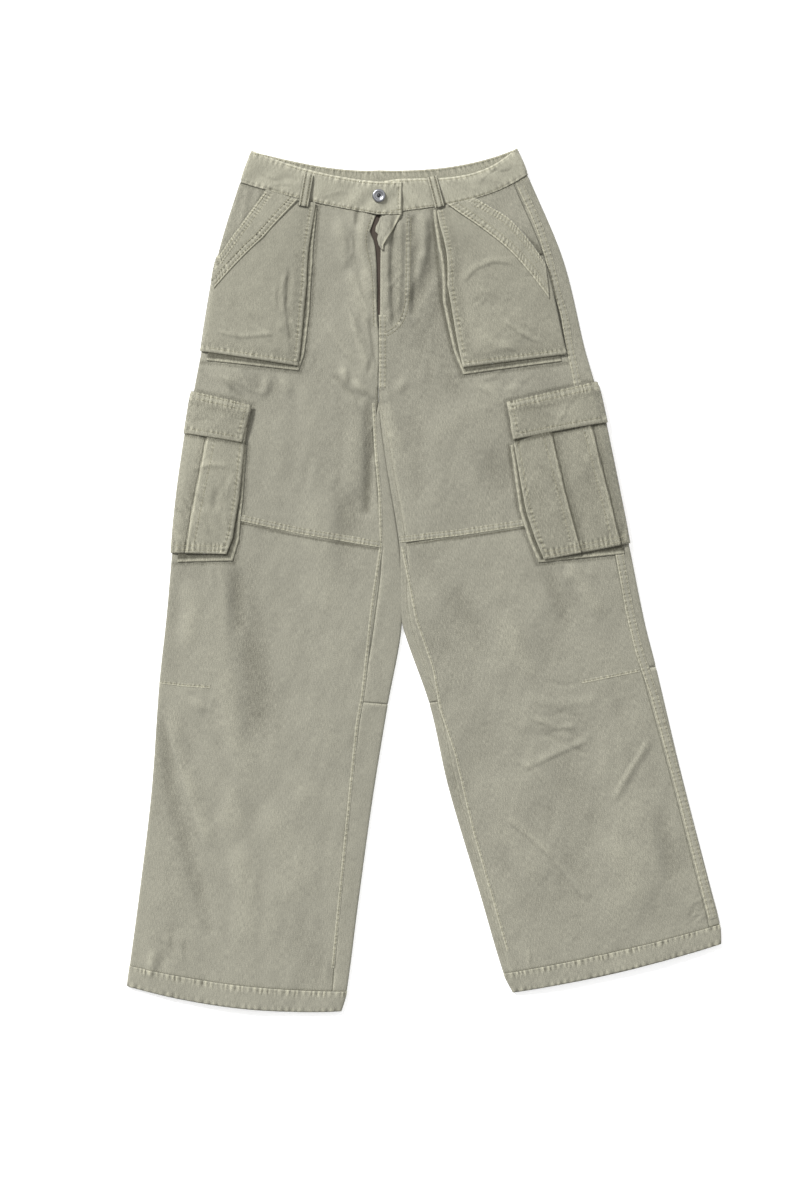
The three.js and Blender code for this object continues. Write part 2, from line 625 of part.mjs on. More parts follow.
function patchPocketPieces(side) {
  const pocket = PATCH_POCKETS[side];
  const place = (point) => placeOf(side, point);
  const top = SEAM_GAP;
  const isOnFold = side === "right";
  const outerRound = (section) => (
    isOnFold ? section.quarter * FOLD_SHARE : section.sideSeam + SEAM_MARGIN
  );

  // Places of the face: rows go down from the waist seam, columns from the opening or the side to the inside.
  const faceRows = 9;
  const innerLine = [pocket.innerTop, pocket.innerMiddle, pocket.innerFoot].map(place);
  const inner = (share) => alongList(innerLine, share);
  const outerFoot = place(pocket.outerFoot);
  const openingFoot = place(pocket.openingFoot);
  const openingTop = place(pocket.openingTop);
  const facePlace = (row, column) => {
    const share = row / (faceRows - 1);
    const innerPlace = inner(share);
    const outerDown = lerp(top, outerFoot[0], share);
    const cut = clamp01((outerDown - top) / (openingFoot[0] - top));
    const sideRound = outerRound(sectionAt(side, outerDown));
    const outer = cut < 1 ? lerp(openingTop[1], sideRound, cut) : sideRound;
    const round = [outer, ...evenly(outer + FOLD_STEP, innerPlace[1], 7)][column];
    const across = (round - outer) / (innerPlace[1] - outer);
    const down = Math.max(top, lerp(outerDown, share === 0 ? top : innerPlace[0], across));
    return [down, round];
  };
  const face = wall(faceRows, 8, CLOTH, (row, column, out) => {
    const [down, round] = facePlace(row, column);
    return surfacePoint(side, down, round, OUT_FACE + out);
  });

  // The side strip shows outside the face along its inner side and its foot.
  const baseFoot = place(pocket.baseFoot);
  baseFoot[1] = outerRound(sectionAt(side, baseFoot[0]));
  baseFoot[1] += FOLD_CLEARANCE;
  const gusset = sideStrip(side, [...pocket.base.map(place), baseFoot]);

  // The band sewn along the slanted opening.
  const lower = pocket.bandLower.map(place);
  const upper = pocket.bandUpper.map(place);
  const band = wall(7, 3, CLOTH, (row, column, out) => {
    const from = alongList(upper, row / 6);
    const to = alongList(lower, row / 6);
    const [down, round] = [lerp(from[0], to[0], column / 2), lerp(from[1], to[1], column / 2)];
    const kept = Math.max(round, outerRound(sectionAt(side, down)) + FOLD_STEP);
    return surfacePoint(side, Math.max(top, down), kept, OUT_TOP + out);
  });

  // The bearer: the hip piece that shows beyond the opening and runs a little way under the pocket.
  const bearer = wall(6, 6, CLOTH, (row, column, out) => {
    const share = row / 5;
    const down = lerp(top, openingFoot[0] - STRIP_DEPTH, share);
    const from = outerRound(sectionAt(side, down));
    const to = lerp(openingTop[1] + BEARER_TUCK, from + STRIP_DEPTH, share);
    const round = [from, ...evenly(from + FOLD_STEP, to, 5)][column];
    return surfacePoint(side, down, round, OUT_GUSSET + out);
  });
  return [
    piece(`pocket_panel_${side}`, face, COLOURS.pocket),
    piece(`pocket_gusset_${side}`, gusset, COLOURS.strip),
    piece(`pocket_band_${side}`, band, COLOURS.flap),
    piece(`pocket_bearer_${side}`, bearer, COLOURS.pocket),
  ];
}

// ---- Cargo pockets -------------------------------------------------------------------------------------

// What lies on the outer fold comes closer to the cloth as it wraps under it.
function wrapOut(standing, wrapped, round) {
  return lerp(wrapped, standing, ramp(round, WRAP_RAMP));
}

function cargoPieces(side) {
  const pocket = CARGO_POCKETS[side];
  const place = (point) => placeOf(side, point);
  const inner = pocket.innerEdge.map(place);
  const foot = pocket.faceFoot.map(place);
  const topDown = place(pocket.faceTop)[0];
  const wrapped = [-CARGO_WRAP, ...outerFold(sectionAt(side, CARGO_RAMP[1])).reverse(), WRAP_RAMP[1]];

  // The face. At each pleat the cloth steps up on to its fold.
  const pleats = pocket.pleats.map((line) => line.map(place));
  const rows = 7;
  const faceGrid = Array.from({ length: rows }, (_, row) => {
    const share = row / (rows - 1);
    const innerPlace = alongList(inner, share);
    const outerDown = lerp(topDown, foot[1][0], share);
    const steps = pleats.flatMap((line) => {
      const round = alongList(line, share)[1];
      return [round - PLEAT_HALF, round + PLEAT_HALF];
    }).sort((a, b) => a - b);
    const rounds = [...wrapped, ...steps, LIFT_RAMP[0], innerPlace[1]].sort((a, b) => a - b);
    return rounds.map((round) => [lerp(outerDown, innerPlace[0], clamp01(round / innerPlace[1])), round]);
  });
  const stepOut = (row, round) => {
    const share = row / (rows - 1);
    const passed = pleats.filter((line) => round > alongList(line, share)[1]).length;
    return passed * PLEAT;
  };
  const face = wall(rows, faceGrid[0].length, CLOTH, (row, column, out) => {
    const [down, round] = faceGrid[row][column];
    return surfacePoint(side, down, round, wrapOut(OUT_FACE, OUT_GUSSET, round) + stepOut(row, round) + out);
  });

  // The side strip, sewn down beyond the face on its inner side and along its foot.
  const sewn = pocket.baseInner.map(place);
  const footDown = place([pocket.faceFoot[1][0], pocket.baseFootY])[0];
  sewn.push([footDown, FOLD_CLEARANCE]);
  const gusset = sideStrip(side, sewn);

  // The flap, over the top of the face and round the fold with it.
  const flapTop = pocket.flapTop.map(place);
  const flapFoot = pocket.flapFoot.map(place);
  const flapOut = OUT_TOP + PLEAT * pleats.length + FLAP_GAP;
  const flap = wall(3, wrapped.length + 3, CLOTH, (row, column, out) => {
    const share = row / 2;
    const innerRound = lerp(flapTop[0][1], flapFoot[0][1], share);
    const rounds = [...wrapped, LIFT_RAMP[0], lerp(LIFT_RAMP[0], innerRound, 0.5), innerRound];
    const round = rounds[column];
    const innerDown = lerp(flapTop[0][0], flapFoot[0][0], share);
    const outerDown = lerp(flapTop[1][0], flapFoot[1][0], share);
    const down = lerp(outerDown, innerDown, clamp01(round / innerRound));
    return surfacePoint(side, down, round, wrapOut(flapOut, OUT_FACE, round) + out);
  });
  return [
    piece(`cargo_body_${side}`, face, COLOURS.cargo),
    piece(`cargo_gusset_${side}`, gusset, COLOURS.strip),
    piece(`cargo_flap_${side}`, flap, COLOURS.flap),
  ];
}

// ---- The whole -----------------------------------------------------------------------------------------

const pants = new THREE.Group();
for (const side of ["right", "left"]) {
  pants.add(...legPieces(side));
  pants.add(...patchPocketPieces(side));
  pants.add(...cargoPieces(side));
}
pants.add(waistband());
pants.add(...BELT_LOOPS.map(beltLoop));
pants.add(strip("fly_zip_tape", "right", ZIP_TAPE, ZIP_TAPE_Y, TAPE_OUT, COLOURS.tape));
pants.add(strip("fly_shield", "left", SHIELD, SHIELD_Y, OUT_GUSSET, COLOURS.panel));
pants.add(button());

export default pants;
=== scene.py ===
"""Cargo pants in washed cotton twill, laid flat on a pale surface, front up.

Every piece of cloth is worked out on one shared surface for each leg, a flattened tube. A place on it is
"down", the distance below the waist seam, and "around", the distance round the tube from its outer fold,
positive on the upper layer and negative underneath. "out" moves a point off the surface. Sizes are in
millimetres until a mesh is made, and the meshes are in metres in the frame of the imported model.
"""

from __future__ import annotations

import logging
import sys
from collections.abc import Callable, Sequence
from dataclasses import astuple, dataclass
from enum import Enum
from typing import ClassVar

import bmesh
import bpy
import numpy as np
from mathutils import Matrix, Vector
from mathutils.bvhtree import BVHTree

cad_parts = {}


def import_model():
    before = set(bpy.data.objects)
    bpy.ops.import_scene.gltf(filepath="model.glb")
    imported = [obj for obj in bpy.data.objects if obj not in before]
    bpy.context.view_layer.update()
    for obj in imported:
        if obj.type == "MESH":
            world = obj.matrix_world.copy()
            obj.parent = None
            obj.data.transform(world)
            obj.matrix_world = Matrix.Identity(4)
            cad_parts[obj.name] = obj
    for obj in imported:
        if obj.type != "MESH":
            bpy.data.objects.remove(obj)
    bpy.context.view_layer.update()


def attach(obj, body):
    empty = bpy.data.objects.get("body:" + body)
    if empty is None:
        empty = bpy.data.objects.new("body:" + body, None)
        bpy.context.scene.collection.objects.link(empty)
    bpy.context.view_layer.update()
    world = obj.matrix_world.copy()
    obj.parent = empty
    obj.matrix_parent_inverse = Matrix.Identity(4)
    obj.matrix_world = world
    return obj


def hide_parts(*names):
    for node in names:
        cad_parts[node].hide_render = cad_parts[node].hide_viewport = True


MM = 0.001
LOG = logging.getLogger("cargo_pants")

# Sizes that the whole garment shares, in millimetres. First, the cloth's thickness and the gap at a seam.
CLOTH = 1.2
BAND_CLOTH = 2.0
SEAM_GAP = 0.14
# The flattened tube: its height at a fold, how much more it has between its folds, and the waistband's top.
EDGE_HEIGHT = 4.6
CROWN = 4.0
BAND_TOP = -41.0
# Belt loops underneath lift the waist by this much, less and less between these two distances down.
HIP_FLAT, HIP_DOWN, LOOP_LIFT = 20.0, 160.0, 2.0
# Distances down of the crotch, of the legs' inner strips, of the seams and of the hem's edge.
CROTCH, LEG_START = 278.0, 278.4
THIGH_SEAM, KNEE_SEAM, HEM_SEAM, HEM_EDGE = 440.0, 645.0, 1005.0, 1030.0
# Below the crotch, over what length the inner fold and the inseam's distance from it grow to full size, and
# how far the inner strip runs underneath.
FOLD_GROWTH, INSEAM_GROWTH, STRIP_UNDER = 45.0, 36.0, 8.0
# Cargo pockets: how much their edge underneath lifts the leg, how far they wrap under it, and where the
# lift comes and goes, down the leg and across it; and where the pocket closes in on the fold.
CARGO_LIFT, CARGO_WRAP = 3.4, 26.0
CARGO_RAMP = (200.0, 250.0, 490.0, 560.0)
LIFT_RAMP = (40.0, 150.0)
WRAP_RAMP = (-2.75, 8.0)
# How far off the panels the first, second and third layer of a pocket lie.
OUT_GUSSET, OUT_FACE, OUT_TOP = 1.7, 3.3, 4.9
# The centre front, and the height of the waist seam and of the waistband's top on it.
CENTRE_X = -57.6
WAIST_Y, BAND_TOP_Y = 466.0, 508.0

# Numbers of a colour mix node's two colour inputs and of its output.
FIRST_COLOUR, SECOND_COLOUR, MIXED_COLOUR = 6, 7, 2

Array = np.ndarray
Material = bpy.types.Material
Plan = Sequence[tuple[float, float]]


class Side(Enum):
    """The wearer's side."""

    RIGHT = "right"
    LEFT = "left"


class Slot(Enum):
    """The record's material slots."""

    PANEL = "twill_panel"
    EDGE = "twill_edge"
    POCKET = "twill_pocket"
    TAPE = "zip_tape"
    METAL = "button_metal"


class Form(Enum):
    """How a crease falls away from its line."""

    SOFT = "soft"
    TUCK = "tuck"


# ---- Small helpers ----


def smooth(value: Array, start: float, end: float) -> Array:
    """Rise from 0 at start to 1 at end, with level ends: the cubic 3t^2 - 2t^3.

    Args:
        value: Where to read the step.
        start: Value at which it leaves 0.
        end: Value at which it reaches 1.

    Returns:
        The step at each value.
    """
    share = np.clip((value - start) / (end - start), 0.0, 1.0)
    return share * share * (3.0 - 2.0 * share)


def ramp(value: Array, ends: tuple[float, float]) -> Array:
    """Rise in a straight line from 0 at the first end to 1 at the second."""
    return np.clip((value - ends[0]) / (ends[1] - ends[0]), 0.0, 1.0)


def bell(value: Array, reach: float) -> Array:
    """A soft hump: (1 - t^2)^2 within the reach of its middle, and 0 outside it."""
    share = np.clip(np.abs(value) / reach, 0.0, 1.0)
    return (1.0 - share * share) ** 2


def resample(path: Plan, count: int) -> Array:
    """Even places along a path of straight stretches whose corners are rounded by averaging.

    Args:
        path: Corner places.
        count: How many places to return.

    Returns:
        An array of count places.
    """
    points = np.asarray(path, float)
    lengths = np.concatenate([[0.0], np.cumsum(np.linalg.norm(np.diff(points, axis=0), axis=1))])
    dense = np.linspace(0.0, lengths[-1], max(count, 64))
    line = np.stack([np.interp(dense, lengths, points[:, axis]) for axis in range(points.shape[1])], 1)
    if len(points) > 2:
        for _ in range(12):
            line[1:-1] = 0.25 * line[:-2] + 0.5 * line[1:-1] + 0.25 * line[2:]
    steps = np.concatenate([[0.0], np.cumsum(np.linalg.norm(np.diff(line, axis=0), axis=1))])
    even = np.linspace(0.0, steps[-1], count)
    return np.stack([np.interp(even, steps, line[:, axis]) for axis in range(points.shape[1])], 1)


def path_length(path: Plan) -> float:
    """Length of a path of straight stretches."""
    return float(np.linalg.norm(np.diff(np.asarray(path, float), axis=0), axis=1).sum())


def shares(count: int) -> Array:
    """A row of even shares from 0 to 1."""
    return np.linspace(0.0, 1.0, count)[None, :]


def headings(line: Array) -> Array:
    """Unit directions along a line at each of its points."""
    ahead = np.gradient(line, axis=0)
    return ahead / np.linalg.norm(ahead, axis=1, keepdims=True)


def leftwards(line: Array) -> Array:
    """Unit directions to the left of a line at each of its points."""
    ahead = headings(line)
    return np.stack([-ahead[:, 1], ahead[:, 0]], 1)


def around_line(x: Array, y: Array, line: Array, reach: float) -> Array:
    """Whether each place is in the upright box round a line, grown by a reach."""
    low, high = line.min(0) - reach, line.max(0) + reach
    return (x > low[0]) & (x < high[0]) & (y > low[1]) & (y < high[1])


def line_fields(x: Array, y: Array, path: Array) -> tuple[Array, Array]:
    """Signed distance from a line and distance along it, for every place.

    The nearest point of each stretch is found by projection, and the nearest stretch wins. The distance is
    positive to the left of the line's direction.

    Args:
        x: Places' x.
        y: Places' y.
        path: The line's points.

    Returns:
        Signed distances and distances along the line.
    """
    best = np.full(x.shape, np.inf)
    signed = np.zeros(x.shape)
    along = np.zeros(x.shape)
    start = 0.0
    for (ax, ay), (bx, by) in zip(path[:-1], path[1:], strict=True):
        dx, dy = bx - ax, by - ay
        length = float(np.hypot(dx, dy))
        share = np.clip(((x - ax) * dx + (y - ay) * dy) / length**2, 0.0, 1.0)
        gap_x, gap_y = x - (ax + dx * share), y - (ay + dy * share)
        distance = np.hypot(gap_x, gap_y)
        nearer = distance < best
        side = np.sign(dx * gap_y - dy * gap_x)
        best = np.where(nearer, distance, best)
        signed = np.where(nearer, side * distance, signed)
        along = np.where(nearer, start + share * length, along)
        start += length
    return signed, along


def ripple(along: Array, pitch: float, seed: int) -> Array:
    """An uneven ripple along a seam: a sine of the given pitch whose phase and size wander.

    Args:
        along: Distance along the seam.
        pitch: Mean distance between ripples.
        seed: Which of the seam's random wanders to use.

    Returns:
        Heights from about -1 to 1.
    """
    rng = np.random.default_rng(seed)
    phases = rng.uniform(0.0, 2.0 * np.pi, 6)
    wander = sum(
        np.sin(2.0 * np.pi * along / (pitch * scale) + phase)
        for scale, phase in zip((3.1, 4.7, 7.9), phases[:3], strict=True)
    )
    size = 0.72 + 0.28 * np.sin(2.0 * np.pi * along / (pitch * 5.3) + phases[3])
    return size * np.sin(2.0 * np.pi * along / pitch + 0.7 * wander + phases[4])


# ---- Creases ----


@dataclass(frozen=True)
class Crease:
    """One fold of the upper layer, placed on the garment seen from above."""

    path: Plan
    height: float
    reach: float
    form: Form = Form.SOFT

    def at(self, x: Array, y: Array) -> Array:
        """Height of the fold: a hump across its line that dies out at both ends.

        A soft fold is the same on both sides. A tuck falls away slowly to the left of its line and steeply
        to the right.

        Args:
            x: Places' x.
            y: Places' y.

        Returns:
            Heights in millimetres.
        """
        line = resample(self.path, 14)
        near = around_line(x, y, line, self.reach)
        heights = np.zeros(x.shape)
        if near.any():
            heights[near] = self.profile(x[near], y[near], line)
        return heights

    def profile(self, x: Array, y: Array, line: Array) -> Array:
        """Heights at places near the fold's line."""
        signed, along = line_fields(x, y, line)
        total = path_length(line)
        taper = min(0.45 * total, 1.6 * self.reach)
        ends = smooth(along, -1.0, taper) * smooth(total - along, -1.0, taper)
        if self.form is Form.TUCK:
            profile = np.where(signed >= 0.0, bell(signed, self.reach), bell(signed, 0.3 * self.reach))
        else:
            profile = bell(signed, self.reach)
        return self.height * ends * profile


@dataclass(frozen=True)
class Crumple:
    """A patch of small sharp folds, where the cloth has been pushed together."""

    centre: tuple[float, float]
    spread: tuple[float, float]
    heading: float
    count: int
    height: float = 0.5

    def creases(self, seed: int) -> list[Crease]:
        """Scatter the patch's folds: short bowed lines that lie roughly along the heading.

        Args:
            seed: Which random scatter to use.

        Returns:
            The folds.
        """
        rng = np.random.default_rng(seed)
        folds = []
        for _ in range(self.count):
            middle = np.array(self.centre) + 0.55 * rng.normal(0.0, 1.0, 2) * np.array(self.spread)
            turn = np.radians(self.heading + rng.normal(0.0, 20.0))
            ahead, half = np.array([np.cos(turn), np.sin(turn)]), rng.uniform(7.0, 20.0)
            bowed = middle + np.array([-ahead[1], ahead[0]]) * rng.uniform(-3.5, 3.5)
            height = self.height * rng.uniform(0.5, 1.3) * (1.0 if rng.uniform() < 0.6 else -1.0)
            form = Form.TUCK if rng.uniform() < 0.6 else Form.SOFT
            path = (tuple(middle - ahead * half), tuple(bowed), tuple(middle + ahead * half))
            folds.append(Crease(path, height, rng.uniform(4.0, 8.0), form))
        return folds


@dataclass(frozen=True)
class Shade:
    """A line along which the panels are darker, as beside a pocket's edge or in a crevice."""

    path: Plan
    strength: float = 0.5
    reach: float = 4.5


@dataclass(frozen=True)
class Wave:
    """One wave of the cloth's gentle unevenness."""

    ahead_x: float
    ahead_y: float
    phase: float
    height: float


class Relief:
    """All that lifts or sinks the upper layer: creases, and an unevenness made of many small waves."""

    depth = 1.75

    def __init__(self, creases: Sequence[Crease], shades: Sequence[Shade], seed: int) -> None:
        """Keep the creases and shades and draw the waves, long slow ones and short weak ones."""
        self.creases = tuple(creases)
        self.shades = tuple(shades)
        rng = np.random.default_rng(seed)
        self.waves: list[Wave] = []
        for count, shortest, longest, height in ((22, 60.0, 190.0, 0.2), (40, 12.0, 30.0, 0.03)):
            for _ in range(count):
                heading = rng.normal(0.0, 0.75)
                number = 2.0 * np.pi / rng.uniform(shortest, longest)
                phase = rng.uniform(0.0, 2.0 * np.pi)
                self.waves.append(Wave(number * np.cos(heading), number * np.sin(heading), phase, height))

    def at(self, x: Array, y: Array) -> Array:
        """Sum of every crease and wave at each place.

        Args:
            x: Places' x.
            y: Places' y.

        Returns:
            Heights in millimetres.
        """
        total = np.zeros(x.shape)
        for wave in self.waves:
            total += wave.height * np.sin(wave.ahead_x * x + wave.ahead_y * y + wave.phase)
        for crease in self.creases:
            total += self.depth * crease.at(x, y)
        return total

    def toned(self, grid: Array, pale: Array, soiled_and_shaded: Array) -> tuple[Array, Array]:
        """Make the tops of the folds paler, as rubbing and painted highlight, and their troughs darker, as
        painted shade.

        Args:
            grid: The piece's points.
            pale: Its pale share.
            soiled_and_shaded: Its dark share, of dirt and painted shade.

        Returns:
            Both shares with the folds' part added.
        """
        height = self.at(grid[..., 0], grid[..., 1])
        return pale + 0.06 * np.clip(height, 0.0, 3.0), soiled_and_shaded + 0.08 * np.clip(-height, 0.0, 4.0)

    def shade(self, x: Array, y: Array) -> Array:
        """How much darker the panels are beside the lines of shade."""
        total = np.zeros(x.shape)
        for shade in self.shades:
            line = np.asarray(shade.path, float)
            near = around_line(x, y, line, shade.reach)
            if near.any():
                total[near] += shade.strength * bell(line_fields(x[near], y[near], line)[0], shade.reach)
        return total


# ---- The leg's surface ----


@dataclass(frozen=True)
class Section:
    """One line across a leg: its two ends, how its line bends, and where the seams lie on it."""

    down: float
    outer_x: float
    outer_y: float
    inner_x: float
    inner_y: float
    bow: float = 0.0
    dip: float = 0.0
    rise: float = 0.0
    side_seam: float = 0.0
    inseam: float = 0.0


RIGHT_SECTIONS = (
    Section(BAND_TOP, -220, 548, CENTRE_X, BAND_TOP_Y, -6.5, 0, 16, -12, 0),
    Section(0, -234, 507, CENTRE_X, WAIST_Y, -2.5, -1, 20, -12, 0),
    Section(97, -262.5, 412, CENTRE_X, 408, 0, 0, 4, -12, 0),
    Section(217, -284, 292, CENTRE_X, 290, 0, 0, 0, -12, 0),
    Section(CROTCH, -295.5, 230, -57.9, 228, 0, 0, 0, -12, 9),
    Section(350, -307, 159, -48.6, 151, 0, 0, 0, -12, 15),
    Section(THIGH_SEAM, -316, 90, -31.5, 37, 0, 0, 0, -12, 24),
    Section(560, -329, -49, -29.3, -61, 0, 0, 0, -12, 36),
    Section(KNEE_SEAM, -338, -133, -46.7, -159, 0, 0, 0, -12, 34),
    Section(775, -348, -271, -66.6, -282, 0, 0, 0, -12, 31),
    Section(905, -363.5, -401, -84.5, -412, 0, 0, 0, -12, 25),
    Section(HEM_SEAM, -376, -494, -99.5, -527, -8, 0, 0, -12, 19),
    Section(HEM_EDGE, -379.5, -519, -106, -551, -11, 0, 0, -12, 17),
)
LEFT_SECTIONS = (
    Section(BAND_TOP, 118, 551.5, CENTRE_X, BAND_TOP_Y, -1, -18, 16, 19, 0),
    Section(0, 132, 517, CENTRE_X, WAIST_Y, -4, -9, 20, 19, 0),
    Section(97, 177, 410, CENTRE_X, 408, 0, 0, 4, 24, 0),
    Section(217, 206, 292, CENTRE_X, 290, 0, 0, 0, 25, 0),
    Section(CROTCH, 222.5, 233, -57.5, 228, 0, 0, 0, 24, 7),
    Section(350, 237, 166, -48.4, 151, 0, 0, 0, 22, 9),
    Section(THIGH_SEAM, 252, 92, -31.3, 45, 0, 0, 0, 21, 10),
    Section(560, 280.5, -49, -28.5, -51, 0, 0, 0, 21, 12),
    Section(KNEE_SEAM, 296, -111, 7, -157, 0, 0, 0, 20, 12),
    Section(775, 328, -246, 32, -266, 0, 0, 0, 15, 12),
    Section(905, 363.5, -384, 72, -401, 0, 0, 0, 15, 10),
    Section(HEM_SEAM, 378, -441, 102.5, -504, -4, 0, -6, 15, 9),
    Section(HEM_EDGE, 379.5, -465, 114, -527, -5, 0, -7, 15, 9),
)


class Cut:
    """A leg's section values as arrays, one number for each place asked for, and the sizes that follow."""

    radius = EDGE_HEIGHT / 2.0
    quarter = radius * np.pi / 2.0

    def __init__(self, values: Array) -> None:
        """Name the section's columns and work out the widths and fold sizes."""
        self.down, self.outer_x, self.outer_y = np.moveaxis(values[..., :3], -1, 0)
        self.inner_x, self.inner_y, self.bow, self.dip = np.moveaxis(values[..., 3:7], -1, 0)
        self.rise, self.side_seam, inseam = np.moveaxis(values[..., 7:], -1, 0)
        self.is_leg = self.down > CROTCH
        self.width = np.hypot(self.inner_x - self.outer_x, self.inner_y - self.outer_y)
        grown = smooth(self.down, CROTCH, CROTCH + FOLD_GROWTH)
        self.inside = np.where(self.is_leg, self.radius * grown + 0.01, 0.0)
        self.inseam = inseam * ramp(self.down, (CROTCH, CROTCH + INSEAM_GROWTH))
        self.length = self.width + (self.radius + self.inside) * (np.pi / 2.0 - 1.0)
        self.inner_start = -self.length + self.inside * np.pi / 2.0 + STRIP_UNDER


class LegSurface:
    """One leg's cloth as a flattened tube, from the top of the waistband to the hem."""

    def __init__(self, side: Side, sections: Sequence[Section], relief: Relief) -> None:
        """Keep the table of sections as an array and the relief of the upper layer."""
        self.side = side
        self.rows = np.array([astuple(section) for section in sections], float)
        self.relief = relief

    def cut(self, down: Array) -> Cut:
        """Section values at any "down": a smooth curve through the table's rows.

        It is the Hermite cubic whose slope at each row is that between the rows before and after it.

        Args:
            down: Distances below the waist seam.

        Returns:
            The section values there.
        """
        knots = self.rows[:, 0]
        last = len(knots) - 1
        index = np.clip(np.searchsorted(knots, down, side="left") - 1, 0, last - 1)
        before, after = np.maximum(index - 1, 0), np.minimum(index + 2, last)
        span = knots[index + 1] - knots[index]
        share = ((down - knots[index]) / span)[..., None]
        start, end = self.rows[index], self.rows[index + 1]
        start_slope = (end - self.rows[before]) * (span / (knots[index + 1] - knots[before]))[..., None]
        end_slope = (self.rows[after] - start) * (span / (knots[after] - knots[index]))[..., None]
        values = (
            start * (1 + 2 * share) * (1 - share) ** 2
            + start_slope * share * (1 - share) ** 2
            + end * share**2 * (3 - 2 * share)
            + end_slope * share**2 * (share - 1)
        )
        values[..., 0] = down
        return Cut(values)

    @staticmethod
    def bend(cut: Cut, share: Array, under: Array) -> Array:
        """How far a section's line is bent towards the waist at a share of its width.

        Args:
            cut: The sections.
            share: Shares of the width, from 0 at the outer fold.
            under: Whether each place is on the lower layer.

        Returns:
            Distances in millimetres.
        """
        held = np.clip(share, 0.0, 1.0)
        skewed = 6.75 * held * (1 - held) ** 2 * cut.dip
        even = 4.0 * held * (1 - held)
        below = np.where(cut.is_leg, even, held**3) * cut.rise + skewed / 4.0
        return np.where(under, below, even * cut.bow + skewed)

    def points(self, down: Array, around: Array, out: Array | float = 0.0) -> Array:
        """Points of the cloth's middle surface, moved out.

        Round a fold the section is a half circle; between the folds the lower layer is level and the upper
        layer stands above it by the fold's height, a crown and the relief.

        Args:
            down: Distances below the waist seam.
            around: Distances round the tube.
            out: Distances off the surface.

        Returns:
            Points in millimetres, with one more axis than the input.
        """
        down, around = np.broadcast_arrays(np.asarray(down, float), np.asarray(around, float))
        out = np.broadcast_to(np.asarray(out, float), down.shape)
        cut = self.cut(down)
        around = np.where(cut.is_leg & (around < -cut.length), around + 2 * cut.length, around)
        around = np.where(cut.is_leg & (around > cut.length), around - 2 * cut.length, around)
        under = around < 0.0
        reach = np.abs(around)
        inner_quarter = cut.inside * np.pi / 2.0
        from_inner = cut.length - reach
        in_outer = reach <= cut.quarter
        in_inner = cut.is_leg & (from_inner < inner_quarter)
        flat_across = cut.radius + reach - cut.quarter
        share = np.clip(flat_across / cut.width, 0.0, 1.0)
        crown = self.crown(down, share)
        outer_angle = around / cut.radius
        inner_angle = np.sign(around) * from_inner / np.maximum(cut.inside, 1e-6)
        across = np.where(in_outer, cut.radius - (cut.radius + out) * np.cos(outer_angle), flat_across)
        across = np.where(in_inner, cut.width - cut.inside + (cut.inside + out) * np.cos(inner_angle), across)
        top = 2.0 * cut.radius + crown + out
        height = np.where(under, -out, top)
        height = np.where(in_outer, cut.radius + (cut.radius + out) * np.sin(outer_angle), height)
        height = np.where(in_inner, cut.radius + (cut.radius + out) * np.sin(inner_angle), height)
        share = across / cut.width
        x = cut.outer_x + (cut.inner_x - cut.outer_x) * share
        y = cut.outer_y + (cut.inner_y - cut.outer_y) * np.minimum(share, 1.0) + self.bend(cut, share, under)
        edge = smooth(flat_across, 2.0, 26.0)
        edge = edge * np.where(cut.is_leg, smooth(cut.width - flat_across, 2.0, 20.0), 1.0)
        relief = self.relief.at(x, y) * edge
        height = height + np.where(under, 0.35 * np.abs(relief), np.maximum(relief, -CROWN - 1.5))
        return np.stack([x, y, CLOTH / 2.0 + self.lift(cut, across) + height], -1)

    @staticmethod
    def crown(down: Array, share: Array) -> Array:
        """How much higher the upper layer stands between its folds: a hump with a level middle.

        Args:
            down: Distances below the waist seam.
            share: Shares of the width, from 0 at the outer fold.

        Returns:
            Heights in millimetres, 0 at the waistband and, on a leg, at both folds.
        """
        outer = 1.0 - (1.0 - np.minimum(share / 0.35, 1.0)) ** 2
        inner = 1.0 - (1.0 - np.minimum((1.0 - share) / 0.35, 1.0)) ** 2
        legged = smooth(down, 190.0, 300.0)
        return CROWN * outer * (1.0 - legged * (1.0 - inner)) * smooth(down, -10.0, 60.0)

    @staticmethod
    def lift(cut: Cut, across: Array) -> Array:
        """How far the tube is lifted by belt loops or a cargo pocket's edge underneath it."""
        loops = LOOP_LIFT * (1.0 - ramp(cut.down, (HIP_FLAT, HIP_DOWN)))
        start, full, ending, gone = CARGO_RAMP
        window = smooth(cut.down, start, full) * (1.0 - smooth(cut.down, ending, gone))
        return loops + CARGO_LIFT * window * (1.0 - ramp(across, LIFT_RAMP))

    def place(self, x: Array, y: Array, under: bool = False) -> tuple[Array, Array]:
        """The place (down, around) of points seen from above, by halving the span of "down".

        Args:
            x: Points' x.
            y: Points' y.
            under: Whether they lie on the lower layer.

        Returns:
            Arrays of down and around.
        """
        low, high = np.full(x.shape, BAND_TOP - 8.0), np.full(x.shape, HEM_EDGE)
        below = np.full(x.shape, under)
        for _ in range(26):
            middle = (low + high) / 2.0
            cut = self.cut(middle)
            share = (x - cut.outer_x) / (cut.inner_x - cut.outer_x)
            line = cut.outer_y + (cut.inner_y - cut.outer_y) * np.minimum(share, 1.0)
            above = y > line + self.bend(cut, share, below)
            low, high = np.where(above, low, middle), np.where(above, middle, high)
        around = share * cut.width - cut.radius + cut.quarter
        return middle, -around if under else around

    def over(self, x: Array, y: Array, out: Array | float) -> Array:
        """Points above plan places, at a distance off the upper layer."""
        down, around = self.place(x, y)
        return self.points(down, around, out)


# ---- Meshes ----


@dataclass
class Cloth:
    """A grid of points of one piece of cloth, with what its finish reads at each point."""

    grid: Array
    flat: Array
    # Paler share, for rubbing and painted highlight, and darker share, for the piece's tone, dirt and painted
    # shade.
    wear: Array | float = 0.0
    soil: Array | float = 0.0
    ring: bool = False


